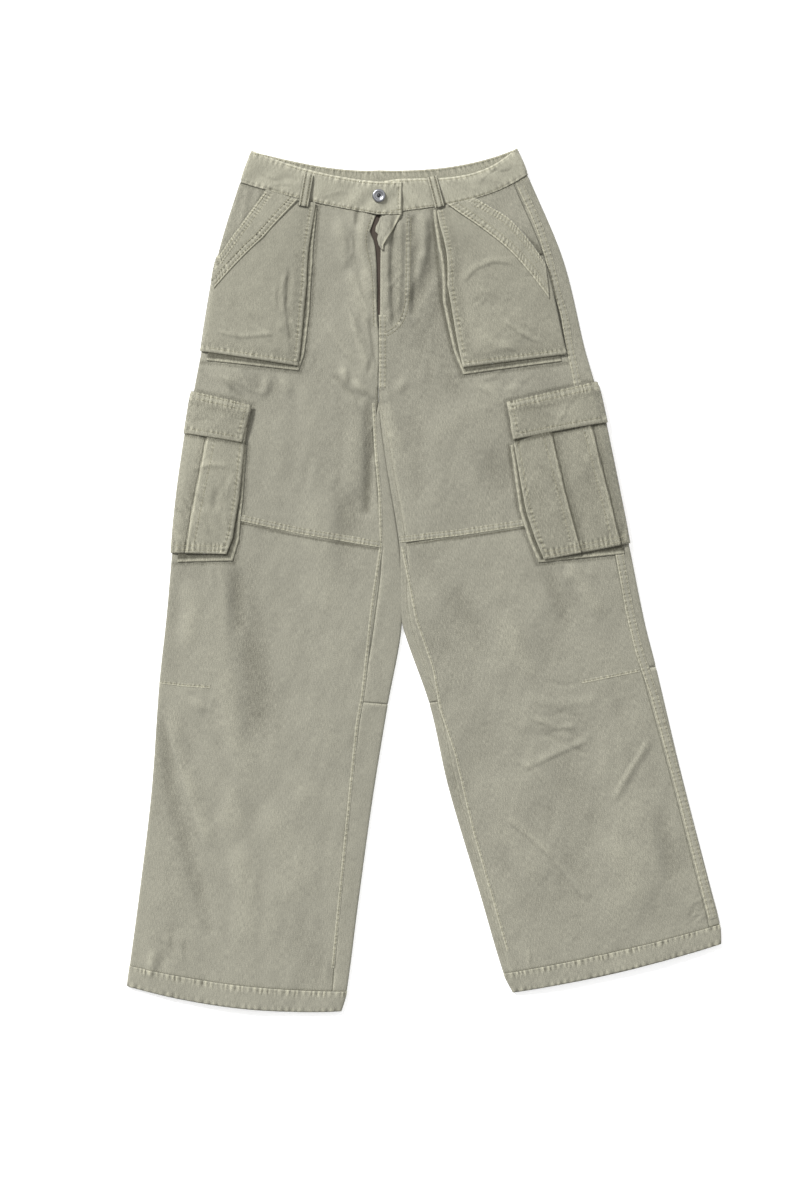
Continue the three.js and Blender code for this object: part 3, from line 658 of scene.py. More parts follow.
def grid_faces(rows: int, columns: int, ring: bool) -> Array:
    """Four-cornered faces of a grid whose last column may join its first."""
    row, column = np.meshgrid(np.arange(rows - 1), np.arange(columns if ring else columns - 1), indexing="ij")
    after = (column + 1) % columns
    first, second = row * columns, (row + 1) * columns
    return np.stack([first + column, first + after, second + after, second + column], -1).reshape(-1, 4)


def put_mesh(name: str, vertices: Array, faces: Array) -> bpy.types.Object:
    """Make a smooth mesh object at the origin from vertices in millimetres and faces of equal size.

    Args:
        name: The object's name.
        vertices: Points, one a row.
        faces: Vertex numbers, one face a row.

    Returns:
        The object, linked to the scene.
    """
    mesh = bpy.data.meshes.new(name)
    sides = faces.shape[1]
    mesh.vertices.add(len(vertices))
    mesh.vertices.foreach_set("co", (vertices * MM).astype(np.float32).ravel())
    mesh.loops.add(faces.size)
    mesh.loops.foreach_set("vertex_index", faces.astype(np.int32).ravel())
    mesh.polygons.add(len(faces))
    mesh.polygons.foreach_set("loop_start", np.arange(0, faces.size, sides, dtype=np.int32))
    mesh.polygons.foreach_set("loop_total", np.full(len(faces), sides, dtype=np.int32))
    mesh.polygons.foreach_set("use_smooth", np.ones(len(faces), dtype=bool))
    mesh.update(calc_edges=True)
    mesh.validate()
    piece = bpy.data.objects.new(name, mesh)
    bpy.context.scene.collection.objects.link(piece)
    return piece


def put_attribute(piece: bpy.types.Object, name: str, values: Array) -> None:
    """Store one number for each vertex under a name that the finishes read."""
    attribute = piece.data.attributes.new(name, "FLOAT", "POINT")
    attribute.data.foreach_set("value", np.ascontiguousarray(values, dtype=np.float32).ravel())


def put_map(piece: bpy.types.Object, flat: Array, faces: Array) -> None:
    """Give a piece a UV map of its flat places in metres, so a weave keeps its real size on it."""
    layer = piece.data.uv_layers.new(name="flat")
    layer.data.foreach_set("uv", (flat.reshape(-1, 2)[faces.ravel()] * MM).astype(np.float32).ravel())


def laid_sheet(
    name: str, cloth: Cloth, faces: Array, material: Material,
) -> bpy.types.Object:
    """Make a grid of points into an object with its finish, its attributes and a UV map of its flat places.

    Args:
        name: The piece's name.
        cloth: Its grid.
        faces: The grid's faces.
        material: Its finish.

    Returns:
        The object.
    """
    shape = cloth.grid.shape[:2]
    piece = put_mesh(name, cloth.grid.reshape(-1, 3), faces)
    # The finish reads both shares: rubbing with painted highlight, and tone and dirt with painted shade.
    for label, values in (("wear", cloth.wear), ("soil", cloth.soil)):
        put_attribute(piece, label, np.broadcast_to(np.asarray(values, float), shape))
    put_map(piece, cloth.flat, faces)
    piece.data.materials.append(material)
    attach(piece, "root")
    return piece


def cloth_piece(
    node: str, cloth: Cloth, material: Material, rests_on: Sequence[str],
    thickness: float = CLOTH,
) -> list[str]:
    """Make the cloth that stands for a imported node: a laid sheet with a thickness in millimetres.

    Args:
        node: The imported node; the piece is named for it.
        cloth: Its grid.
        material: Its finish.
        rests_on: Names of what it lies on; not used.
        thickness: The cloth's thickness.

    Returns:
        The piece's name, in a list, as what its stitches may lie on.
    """
    faces = grid_faces(*cloth.grid.shape[:2], cloth.ring)
    piece = laid_sheet(f"cloth_{node}", cloth, faces, material)
    solid = piece.modifiers.new("thickness", "SOLIDIFY")
    solid.thickness = thickness * MM
    solid.offset = 0.0
    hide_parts(node)
    return [piece.name]


# ---- Finishes ----


def linear(hex_colour: str) -> tuple[float, float, float, float]:
    """An sRGB hex colour as linear red, green, blue and alpha."""
    parts = (int(hex_colour[place : place + 2], 16) / 255.0 for place in (1, 3, 5))
    return (*(part / 12.92 if part <= 0.04045 else ((part + 0.055) / 1.055) ** 2.4 for part in parts), 1.0)


def add_node(
    tree: bpy.types.NodeTree, kind: str, settings: dict | None = None, links: dict | None = None,
) -> bpy.types.Node:
    """Add a shader node with its settings and links.

    Args:
        tree: The material's node tree.
        kind: The node's type name.
        settings: Property names or input names to values.
        links: Input names or numbers to output sockets.

    Returns:
        The node.
    """
    node = tree.nodes.new(kind)
    for name, value in (settings or {}).items():
        if isinstance(name, str) and hasattr(node, name):
            setattr(node, name, value)
        else:
            node.inputs[name].default_value = value
    for name, socket in (links or {}).items():
        tree.links.new(socket, node.inputs[name])
    return node


def new_material(name: str) -> tuple[Material, bpy.types.NodeTree]:
    """A material and its node tree, emptied."""
    material = bpy.data.materials.new(name)
    material.use_nodes = True
    material.node_tree.nodes.clear()
    return material, material.node_tree


@dataclass(frozen=True)
class TwillFinish:
    """Garment-washed cotton twill: matt, faintly fuzzy, paler where rubbed and with painted highlight, darker
    with dirt and with painted shade in creases and crevices.
    """

    name: str
    base: str = "#8d8b7e"
    pale: str = "#b6b39f"
    dark: str = "#504e42"
    thread_spacing: float = 1.1
    mottle_size: float = 0.8
    mottle_strength: float = 0.46
    cloud_size: float = 41.6667
    cloud_strength: float = 0.05
    streak_size: float = 0.9
    streak_strength: float = 0.2
    bump: float = 0.4
    roughness: float = 0.92

    def build(self) -> Material:
        """Make the material.

        Its colour is the base cloth, mottled by fine, cloudy and streaky noises, mixed towards the pale tone
        by one attribute, of rubbing and painted highlight, and towards the dark tone by another, of tone,
        dirt and painted shade. Its bump is diagonal twill lines, drawn a little coarser than the real ones so
        that they show, and the fine noise as slubs.

        Returns:
            The material.
        """
        material, tree = new_material(self.name)
        flat = add_node(tree, "ShaderNodeUVMap", {"uv_map": "flat"}).outputs["UV"]
        long = {"Scale": (1.0, 0.14, 1.0)}
        stretched = add_node(tree, "ShaderNodeMapping", long, {"Vector": flat}).outputs["Vector"]
        noises, tones = [], []
        for size, detail, rough, place, strength in (
            (self.mottle_size, 3.0, 0.65, flat, self.mottle_strength),
            (self.cloud_size, 2.0, 0.5, flat, self.cloud_strength),
            (self.streak_size, 2.0, 0.5, stretched, self.streak_strength),
        ):
            settings = {"Scale": 1.0 / (size * MM), "Detail": detail, "Roughness": rough}
            noises.append(add_node(tree, "ShaderNodeTexNoise", settings, {"Vector": place}).outputs["Fac"])
            settings = {"From Min": 0.3, "From Max": 0.7, "To Min": -strength, "To Max": strength}
            tone = add_node(tree, "ShaderNodeMapRange", settings, {"Value": noises[-1]})
            tones.append(tone.outputs["Result"])
        tone = add_node(tree, "ShaderNodeMath", {"operation": "ADD"}, {0: tones[0], 1: tones[1]}).outputs[0]
        tone = add_node(tree, "ShaderNodeMath", {"operation": "ADD"}, {0: tone, 1: tones[2]}).outputs[0]
        colour = None
        # First paler by rubbing and painted highlight, then darker by tone, dirt and painted shade.
        for label, operation, mixed in (("wear", "ADD", self.pale), ("soil", "SUBTRACT", self.dark)):
            marked = add_node(tree, "ShaderNodeAttribute", {"attribute_name": label}).outputs["Fac"]
            settings = {"operation": operation, "use_clamp": True}
            factor = add_node(tree, "ShaderNodeMath", settings, {0: marked, 1: tone}).outputs[0]
            settings = {"data_type": "RGBA", FIRST_COLOUR: linear(self.base), SECOND_COLOUR: linear(mixed)}
            links = {"Factor": factor} if colour is None else {"Factor": factor, FIRST_COLOUR: colour}
            colour = add_node(tree, "ShaderNodeMix", settings, links).outputs[MIXED_COLOUR]
        turned = add_node(tree, "ShaderNodeMapping", {"Rotation": (0.0, 0.0, 1.1)}, {"Vector": flat})
        settings = {"Scale": 0.314 / (self.thread_spacing * MM), "Distortion": 1.5, "Detail": 1.0}
        twill = add_node(tree, "ShaderNodeTexWave", settings, {"Vector": turned.outputs["Vector"]})
        settings, links = {"operation": "MULTIPLY_ADD", 1: 0.45}, {0: twill.outputs["Fac"], 2: noises[0]}
        weave = add_node(tree, "ShaderNodeMath", settings, links).outputs[0]
        settings = {"Strength": self.bump, "Distance": 0.5 * MM}
        bump = add_node(tree, "ShaderNodeBump", settings, {"Height": weave}).outputs["Normal"]
        shader = add_node(
            tree, "ShaderNodeBsdfPrincipled",
            {
                "Roughness": self.roughness, "Sheen Weight": 0.18, "Sheen Roughness": 0.5,
                "Specular IOR Level": 0.2,
            },
            {"Base Color": colour, "Normal": bump},
        )
        add_node(tree, "ShaderNodeOutputMaterial", None, {"Surface": shader.outputs["BSDF"]})
        return material


@dataclass(frozen=True)
class PlainFinish:
    """A small trim's finish: one colour with a fine noise in its roughness and height."""

    name: str
    base: str
    second: str
    roughness: float
    metallic: float = 0.0
    grain: float = 0.6
    bump: float = 0.2

    def build(self) -> Material:
        """Make the material: two tones mixed by a noise of the grain's size, which also gives the bump.

        Returns:
            The material.
        """
        material, tree = new_material(self.name)
        place = add_node(tree, "ShaderNodeTexCoord").outputs["Object"]
        noise = add_node(
            tree, "ShaderNodeTexNoise", {"Scale": 1.0 / (self.grain * MM), "Detail": 2.0}, {"Vector": place},
        ).outputs["Fac"]
        settings = {"data_type": "RGBA", FIRST_COLOUR: linear(self.base), SECOND_COLOUR: linear(self.second)}
        mix = add_node(tree, "ShaderNodeMix", settings, {"Factor": noise})
        settings = {"Strength": self.bump, "Distance": 0.2 * MM}
        bump = add_node(tree, "ShaderNodeBump", settings, {"Height": noise})
        shader = add_node(
            tree, "ShaderNodeBsdfPrincipled", {"Roughness": self.roughness, "Metallic": self.metallic},
            {"Base Color": mix.outputs[MIXED_COLOUR], "Normal": bump.outputs["Normal"]},
        )
        add_node(tree, "ShaderNodeOutputMaterial", None, {"Surface": shader.outputs["BSDF"]})
        return material


@dataclass(frozen=True)
class Finishes:
    """Every finish of the garment, made once."""

    panel: Material
    pocket: Material
    edge: Material
    thread: Material
    tape: Material
    metal: Material
    shade: Material

    @classmethod
    def make(cls) -> Finishes:
        """Build the materials."""
        return cls(
            panel=TwillFinish("washed_twill_panel").build(),
            pocket=TwillFinish("washed_twill_pocket", base="#8c8a7c").build(),
            edge=TwillFinish("washed_twill_doubled", base="#959384", pale="#bdbaa6").build(),
            # Spun polyester sewing thread: a little yellower than the cloth, with a dull gloss.
            thread=PlainFinish("sewing_thread", "#9c9880", "#7f7b65", 0.8).build(),
            # Woven nylon zip tape, dark and flat; its colour is taken darker still, as painted shade for the
            # narrow gap of the fly.
            tape=PlainFinish("woven_zip_tape", "#463c33", "#372f28", 0.85, grain=0.8, bump=0.5).build(),
            # Stamped brass button, nickel plated and tumbled dull.
            metal=PlainFinish("tumbled_nickel", "#a3a4a8", "#8b8c90", 0.34, 1.0, grain=1.2).build(),
            # The same metal where it is sunk and oxidised.
            shade=PlainFinish("oxidised_nickel", "#4a4a4c", "#3a3a3c", 0.5, 1.0, grain=1.2).build(),
        )


# ---- Seams and stitches ----


def puckers(
    distance: Array, along: Array, offsets: Sequence[float], seed: int, size: float = 0.5, pitch: float = 6.4,
    reach: float = 4.2, depth: float = 0.45,
) -> tuple[Array, Array]:
    """Height, and tone with painted highlight and shade, that rows of topstitching give the cloth beside an
    edge.

    Each row is a narrow groove at its distance from the edge; beside it the cloth stands in beads of an
    uneven pitch, which are paler on top, as rubbing and painted highlight, and darker between, as painted
    shade.

    Args:
        distance: Places' distance from the edge.
        along: Places' distance along the edge.
        offsets: Each row's distance from the edge.
        seed: Which random wander to use.
        size: Height of the beads.
        pitch: Mean distance between beads.
        reach: How far from its row a bead dies out.
        depth: Depth of the groove.

    Returns:
        Heights in millimetres and a signed tone, paler above 0 for rubbing and painted highlight, and darker
        below it for painted shade.
    """
    height, wear = np.zeros(distance.shape), np.zeros(distance.shape)
    beads = ripple(along, pitch, seed)
    for offset in offsets:
        near = bell(distance - offset, reach)
        height += size * beads * near - depth * bell(distance - offset, 1.2)
        wear += (0.95 * np.clip(beads, -0.9, 1.0) + 0.1) * near
    return height, wear


def split_wear_and_shading(wear: Array) -> tuple[Array, Array]:
    """Part a signed tone into the pale share, of rubbing and painted highlight, and the dark share, of dirt
    and painted shade.
    """
    return np.clip(wear, 0.0, 1.2) * 0.95, np.clip(-wear, 0.0, 1.0) * 0.85


@dataclass
class StitchRun:
    """Rows of single stitches beside a line seen from above, laid on given pieces of cloth."""

    path: Plan
    offsets: tuple[float, ...]
    pieces: tuple[str, ...]


class Threads:
    """All the topstitching: collects its runs, then lays each stitch on the cloth that is there."""

    def __init__(self, material: Material, pitch: float = 3.4, radius: float = 0.36) -> None:
        """Keep the thread's finish and sizes."""
        self.material = material
        self.pitch = pitch
        self.radius = radius
        self.groups: dict[str, list[StitchRun]] = {}

    def add(self, group: str, path: Plan, offsets: Sequence[float], pieces: Sequence[str]) -> None:
        """Add rows of stitches to a group.

        Args:
            group: Name of the piece that they will be part of.
            path: The line that they follow.
            offsets: Their distances to the left of the line.
            pieces: Names of the cloth that they may lie on.
        """
        self.groups.setdefault(group, []).append(StitchRun(path, tuple(offsets), tuple(pieces)))

    @staticmethod
    def drop(places: Array, trees: Sequence[BVHTree]) -> Array:
        """Heights, in millimetres, of the highest cloth under each place, or NaN where there is none."""
        down = Vector((0.0, 0.0, -1.0))
        heights = []
        for x, y in places * MM:
            hits = [tree.ray_cast(Vector((x, y, 0.1)), down)[0] for tree in trees]
            heights.append(max((hit.z for hit in hits if hit is not None), default=np.nan))
        return np.array(heights) / MM

    def build(self) -> None:
        """Make one mesh for each group.

        A stitch is a spindle of four sides: a pointed tube, thickest in its middle, set along its row with
        both ends sunk in the cloth.
        """
        graph = bpy.context.evaluated_depsgraph_get()
        trees: dict[str, BVHTree] = {}
        for group, runs in self.groups.items():
            spindles = []
            for run in runs:
                for name in run.pieces:
                    if name not in trees:
                        trees[name] = BVHTree.FromObject(bpy.data.objects[name], graph)
                line = resample(run.path, max(8, int(path_length(run.path) / 4.0)))
                normal = leftwards(line)
                for offset in run.offsets:
                    shifted = line + normal * offset
                    even = resample(shifted, max(4, int(path_length(shifted) / self.pitch)))
                    centre, ahead = even[1:-1], headings(even)[1:-1]
                    half = 0.39 * self.pitch
                    cast = [trees[name] for name in run.pieces]
                    ends = [centre + ahead * half * side for side in (-1.0, 0.0, 1.0)]
                    spots = [np.column_stack([end, self.drop(end, cast)]) for end in ends]
                    whole = ~np.isnan(np.stack([spot[:, 2] for spot in spots])).any(0)
                    spindles.append(np.stack([spot[whole] for spot in spots], 1))
            self.lay(group, np.concatenate(spindles))

    def lay(self, name: str, spots: Array) -> None:
        """Make the mesh of one group's stitches.

        Args:
            name: The piece's name.
            spots: Each stitch's start, middle and end on the cloth.
        """
        ahead = spots[:, 2] - spots[:, 0]
        half = np.linalg.norm(ahead, axis=1, keepdims=True) / 2.0
        ahead = ahead / (2.0 * half)
        across = np.cross(ahead, np.array([0.0, 0.0, 1.0]))
        across /= np.linalg.norm(across, axis=1, keepdims=True)
        above = np.cross(across, ahead)
        corners = []
        for share, thick in ((-1.0, 0.0), (-0.55, 1.0), (0.55, 1.0), (1.0, 0.0)):
            rise = -0.1 + 0.3 * (1.0 - share * share)
            spine = spots[:, 1] + ahead * share * half + above * rise
            for corner in range(4 if thick else 1):
                angle = np.pi / 2.0 * corner + np.pi / 4.0
                offset = across * np.cos(angle) * 1.35 + above * np.sin(angle)
                corners.append(spine + thick * self.radius * offset)
        stacked = np.stack(corners, 1)
        ring = [(k, (k + 1) % 4) for k in range(4)]
        sides = [(1 + a, 1 + b, 5 + b) for a, b in ring] + [(1 + a, 5 + b, 5 + a) for a, b in ring]
        tips = [(0, 1 + b, 1 + a) for a, b in ring] + [(9, 5 + a, 5 + b) for a, b in ring]
        template = np.array(sides + tips)
        faces = (np.arange(len(stacked))[:, None, None] * 10 + template[None]).reshape(-1, 3)
        first = stacked[0][template[: len(sides)]]
        outward = np.cross(first[:, 1] - first[:, 0], first[:, 2] - first[:, 0])
        away = first.mean(1) - stacked[0].mean(0)
        if (outward * away).sum() < 0.0:
            faces = faces[:, ::-1]
        piece = put_mesh(name, stacked.reshape(-1, 3), faces)
        piece.data.materials.append(self.material)
        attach(piece, "root")
        LOG.info("%s: %d stitches", name, len(stacked))


# ---- Main panels ----


@dataclass
class SeamRidge:
    """A flat-felled seam on the main panels: a low ridge of folded cloth with its rows of topstitching."""

    name: str
    side: Side
    path: Plan
    width: float
    offsets: tuple[float, ...]
    seed: int
    height: float = 1.1
    pucker: float = 0.45
    contrast: float = 0.8
    # How dark the painted shade is along both edges of the ridge.
    edge_shade: float = 0.9

    def build(self, legs: dict[Side, LegSurface], finishes: Finishes, threads: Threads) -> None:
        """Make the ridge, a strip that lies to the left of its line, and its stitches.

        Across the strip the height is a plateau with rounded edges, less a groove at each row of stitches.

        Args:
            legs: The surfaces.
            finishes: The finishes.
            threads: Collects its topstitching.
        """
        leg = legs[self.side]
        line = resample(self.path, max(6, int(path_length(self.path) / 1.25)))
        normal = leftwards(line)
        across = np.linspace(0.0, self.width, max(8, int(self.width / 0.85) + 1))
        x = line[:, 0, None] + normal[:, 0, None] * across
        y = line[:, 1, None] + normal[:, 1, None] * across
        along = np.linspace(0.0, path_length(line), len(line))[:, None] + 0.0 * across
        distance = 0.0 * along + across
        from_edge = np.minimum(distance, self.width - distance)
        lift, wear = puckers(distance, along, self.offsets, self.seed, self.pucker, reach=3.6)
        lift = (self.height + lift) * smooth(from_edge, -0.1, 1.1)
        grid = leg.over(x, y, CLOTH / 2.0 + lift - 0.3)
        # Puckers paler on top and darker between, as rubbing and painted highlight and shade; a pale line
        # along the folded edge, as rubbing and painted highlight; a dark line of painted shade at both edges,
        # where the ridge meets the panel.
        pale, soiled_and_shaded = split_wear_and_shading(self.contrast * wear + 0.04 + 0.7 * bell(distance - 1.3, 1.5))
        soiled_and_shaded = np.maximum(soiled_and_shaded, self.edge_shade * bell(from_edge, 0.9))
        self.lay(Cloth(grid, np.stack([x, y], -1), pale, soiled_and_shaded), finishes.panel)
        front = [f"cloth_front_upper_{self.side.value}", f"cloth_front_lower_{self.side.value}"]
        threads.add(f"stitches_seams_{self.side.value}", self.path, self.offsets, [self.name, *front])

    def lay(self, cloth: Cloth, material: Material) -> None:
        """Make the strip: open, facing up, with its edges sunk in the cloth that it is sewn on.

        Args:
            cloth: Its grid.
            material: Its finish.
        """
        faces = grid_faces(*cloth.grid.shape[:2], False)
        corners = cloth.grid.reshape(-1, 3)[faces]
        upward = np.cross(corners[:, 1] - corners[:, 0], corners[:, 2] - corners[:, 0])[:, 2].sum()
        laid_sheet(self.name, cloth, faces[:, ::-1] if upward < 0.0 else faces, material)


@dataclass
class Leg:
    """One leg's panels: front and back, upper and lower, the back's inner strip, and the hem."""

    surface: LegSurface
    finishes: Finishes
    step: float = 2.5
    back_step: float = 5.0
    fly_downs: tuple[float, ...] = (-2, 0, 12, 24, 36, 48, 60, 75, 100, 130, 160, 180, 192)
    fly_right: tuple[float, ...] = (3.2, 3.4, 7, 11.4, 12.4, 9.6, 6.6, 4.6, 3.2, 2.6, 2.4, 1.6, 0)
    fly_left: tuple[float, ...] = (2.6, 2.6, 0, -4, -4.6, 1.4, 2.6, 2.4, 2.0, 1.8, 1.6, 1.2, 0)
    tone: float = 0.0

    @property
    def name(self) -> str:
        """The wearer's side in words."""
        return self.surface.side.value

    def fly_opening(self, down: Array) -> Array:
        """How far this leg's fly edge is pulled back from the centre at each "down"."""
        opening = self.fly_right if self.surface.side is Side.RIGHT else self.fly_left
        return np.interp(down, self.fly_downs, opening)

    def front_rounds(self, down: Array) -> Array:
        """Rows of places for a front panel: dense round any fold it wraps, then even to its inner edge."""
        cut = self.surface.cut(down)
        start = cut.side_seam + SEAM_GAP / 2
        end = cut.length - np.where(cut.is_leg, cut.inseam, 0.0) - SEAM_GAP / 2
        end = end - np.where(cut.is_leg, 0.0, self.fly_opening(down))
        wraps = bool(start.flat[0] < 0)
        fold = np.linspace(-cut.quarter, cut.quarter, 11) if wraps else np.empty(0)
        first = np.broadcast_to(fold, (len(down), len(fold)))
        begin = np.full_like(end, cut.quarter + 0.6) if wraps else start
        count = int(np.max(end - begin) / self.step)
        rest = begin[:, None] + (end - begin)[:, None] * shares(count)
        parts = [start[:, None], start[:, None] * 0.5 - cut.quarter * 0.5, first, rest] if wraps else [rest]
        return np.concatenate(parts, 1)

    def back_rounds(self, down: Array) -> Array:
        """Rows of places for a back panel: from the side seam, round any fold it wraps, to its inner edge."""
        cut = self.surface.cut(down)
        start = cut.side_seam - SEAM_GAP / 2
        end = np.where(cut.is_leg, cut.inner_start, -cut.length) + SEAM_GAP / 2
        wraps = bool(start.flat[0] > 0)
        fold = np.linspace(cut.quarter, -cut.quarter, 11) if wraps else np.empty(0)
        first = np.broadcast_to(fold, (len(down), len(fold)))
        begin = np.full_like(end, -cut.quarter - 0.6) if wraps else start
        count = int(np.max(begin - end) / self.back_step)
        rest = begin[:, None] + (end - begin)[:, None] * shares(count)
        if not wraps:
            return rest
        face = shares(8)[:, :-1]
        strip = start[:, None] + (cut.quarter + 0.5 - start)[:, None] * face
        return np.concatenate([strip, first, rest], 1)

    def inner_rounds(self, down: Array) -> Array:
        """Rows of places for the back's inner strip: from below, round the inner fold, to the inseam."""
        cut = self.surface.cut(down)
        quarter = cut.inside * np.pi / 2.0
        begin = cut.inner_start - SEAM_GAP / 2
        middle = -cut.length
        end = -cut.length - cut.inseam + SEAM_GAP / 2
        below = begin[:, None] + (middle + quarter - begin)[:, None] * np.linspace(0.0, 0.85, 3)[None, :]
        fold = middle[:, None] + quarter[:, None] * np.linspace(1.0, -1.0, 11)[None, :]
        ahead = np.linspace(0.08, 1.0, 12)[None, :]
        above = (middle - quarter)[:, None] + (end - middle + quarter)[:, None] * ahead
        return np.concatenate([below, fold, above], 1)

    def panel(
        self, name: str, start: float, end: float, rounds: Callable[[Array], Array], step: float,
        rests_on: Sequence[str],
    ) -> None:
        """Make one panel between two seams.

        Args:
            name: The node it stands for.
            start: Down of its upper seam.
            end: Down of its lower seam.
            rounds: Gives each row's places round the tube.
            step: Distance between rows.
            rests_on: Names of what it lies on.
        """
        down = np.linspace(start + SEAM_GAP / 2, end - SEAM_GAP / 2, max(8, int((end - start) / step)))
        around = rounds(down)
        rows = np.broadcast_to(down[:, None], around.shape)
        from_seam = np.minimum(rows - down[0], down[-1] - rows)
        from_side = np.minimum(np.abs(around - around[:, :1]), np.abs(around[:, -1:] - around))
        roll = -0.5 * bell(np.minimum(from_seam, from_side), 1.6)
        grid = self.surface.points(rows, around, roll)
        # Painted shade: darker under the waistband's edge, along the hem seam, beside the lines of shade and
        # in the folds' troughs, over the leg's own tone; paler near the seams where rubbed, and on the folds'
        # tops as rubbing and painted highlight.
        soil = self.tone + 0.55 * bell(rows, 4.0) + 0.5 * bell(rows - HEM_SEAM, 4.0)
        soil = soil + self.surface.relief.shade(grid[..., 0], grid[..., 1]) * (around > 0.0)
        wear, soil = self.surface.relief.toned(grid, 0.3 * bell(np.minimum(from_seam, from_side), 4.0), soil)
        cloth = Cloth(grid, np.stack([around, rows], -1), wear, soil)
        cloth_piece(name, cloth, self.finishes.panel, rests_on)

    def hem(self) -> None:
        """Make the turned-up hem, a ring round the leg opening that puckers along its row of stitches."""
        down = np.linspace(HEM_SEAM - 1.0, HEM_EDGE, 16)
        cut = self.surface.cut(down)
        quarter = cut.inside * np.pi / 2.0
        share = shares(118)[:, 1:-1]
        fold = np.linspace(-1.0, 1.0, 9)[None, :]
        outer = cut.quarter * fold + 0.0 * down[:, None]
        upper = cut.quarter + (cut.length - quarter - cut.quarter)[:, None] * share
        inner = cut.length[:, None] + quarter[:, None] * fold
        lower = (cut.length + quarter)[:, None] + (cut.length - quarter - cut.quarter)[:, None] * share
        around = np.concatenate([outer, upper, inner, lower], 1)
        rows = np.broadcast_to(down[:, None], around.shape)
        from_top = rows - down[0]
        beads = ripple(around, 7.0, 71 if self.surface.side is Side.RIGHT else 72)
        near = bell(from_top - 2.5, 7.0)
        lower_beads = ripple(around + 3.0, 9.5, 73) * bell(down[-1] - rows, 8.0)
        lift = 0.75 + 0.6 * beads * near + 0.5 * lower_beads - 0.5 * bell(from_top - 2.8, 1.6)
        lift = lift - 0.5 * bell(down[-1] - rows, 1.8)
        lift = lift * smooth(around, -cut.quarter, cut.quarter)
        lift = lift * (1.0 - smooth(around, (cut.length - quarter)[:, None], (cut.length + quarter)[:, None]))
        grid = self.surface.points(rows, around, lift)
        # Puckers paler on top and darker between, as rubbing and painted highlight and shade; paler along the
        # top fold where rubbed.
        hem_wear_and_shading = 0.04 + 1.1 * beads * near + 0.8 * lower_beads + 0.6 * bell(from_top - 0.8, 1.4)
        pale, soiled_and_shaded = split_wear_and_shading(hem_wear_and_shading)
        cloth = Cloth(grid, np.stack([around, rows], -1), pale, soiled_and_shaded + self.tone, ring=True)
        cloth_piece(f"hem_{self.name}", cloth, self.finishes.panel, ["floor"])

    def build(self) -> None:
        """Make every panel of this leg."""
        side = self.name
        below = [f"cloth_back_upper_{side}"]
        lower = [f"cloth_back_lower_{side}"]
        self.panel(f"front_upper_{side}", 0.0, THIGH_SEAM, self.front_rounds, self.step, below)
        self.panel(f"front_lower_{side}", THIGH_SEAM, HEM_SEAM, self.front_rounds, self.step, below + lower)
        self.panel(f"back_upper_{side}", 0.0, KNEE_SEAM, self.back_rounds, self.back_step, ["floor"])
        self.panel(f"back_lower_{side}", KNEE_SEAM, HEM_SEAM, self.back_rounds, self.back_step, ["floor"])
        start = LEG_START - SEAM_GAP / 2
        self.panel(f"back_inner_upper_{side}", start, KNEE_SEAM, self.inner_rounds, self.step, ["floor"])
        self.panel(f"back_inner_lower_{side}", KNEE_SEAM, HEM_SEAM, self.inner_rounds, self.step, ["floor"])
        self.hem()


# ---- Pockets ----


def along_list(places: Plan, share: Array) -> Array:
    """A list of places, cut into even shares by their number, read at each share."""
    knots = np.asarray(places, float)
    steps = np.linspace(0.0, 1.0, len(knots))
    return np.stack([np.interp(share, steps, knots[:, axis]) for axis in range(knots.shape[1])], -1)


def side_strip(
    name: str, leg: LegSurface, sewn: Plan, material: Material, seed: int, depth: float = 14.0,
) -> None:
    """Make a pocket's side strip: folded flat, from the line it is sewn down on to under the pocket's face.

    Args:
        name: The node it stands for.
        leg: The leg's surface.
        sewn: Places (down, around) of the sewn line: down the inner side, round the corner, along the foot.
        material: Its finish.
        seed: Which random wander to use.
        depth: How far it runs under the face.
    """
    corner = len(sewn) - 2
    hidden = [
        (down - (depth if index >= corner else 0.0), around - (depth if index <= corner else 0.0))
        for index, (down, around) in enumerate(sewn)
    ]
    edge, under = np.asarray(sewn, float), np.asarray(hidden, float)
    lengths = np.concatenate([[0.0], np.cumsum(np.linalg.norm(np.diff(edge, axis=0), axis=1))])
    along = np.linspace(0.0, lengths[-1], int(lengths[-1] / 1.6))
    along = np.sort(np.concatenate([along, lengths[corner : corner + 1]]))
    share = np.linspace(0.0, 1.0, 12)
    outer, inner = (
        np.stack([np.interp(along, lengths, line[:, axis]) for axis in (0, 1)], -1) for line in (edge, under)
    )
    places = outer[:, None] + (inner - outer)[:, None] * share[None, :, None]
    distance = share[None, :] * depth + 0.0 * along[:, None]
    ripples = 0.35 * ripple(along, 11.0, seed)[:, None] * bell(distance - 2.0, 6.0)
    out = 1.25 + 1.0 * smooth(distance, 1.0, 10.0) - 0.5 * bell(distance, 1.5) + ripples
    grid = leg.points(places[..., 0], places[..., 1], out)
    # Paler along the sewn fold where rubbed; darker, as painted shade, the further the strip runs under the
    # face, and along its middle fold.
    wear = 0.9 * bell(distance - 1.6, 2.0)
    soil = 0.25 + 0.75 * smooth(distance, 3.0, 8.0) + 0.5 * bell(distance - 4.6, 1.6)
    cloth = Cloth(grid, places[..., ::-1], wear, soil)
    cloth_piece(name, cloth, material, [f"cloth_front_upper_{leg.side.value}"])


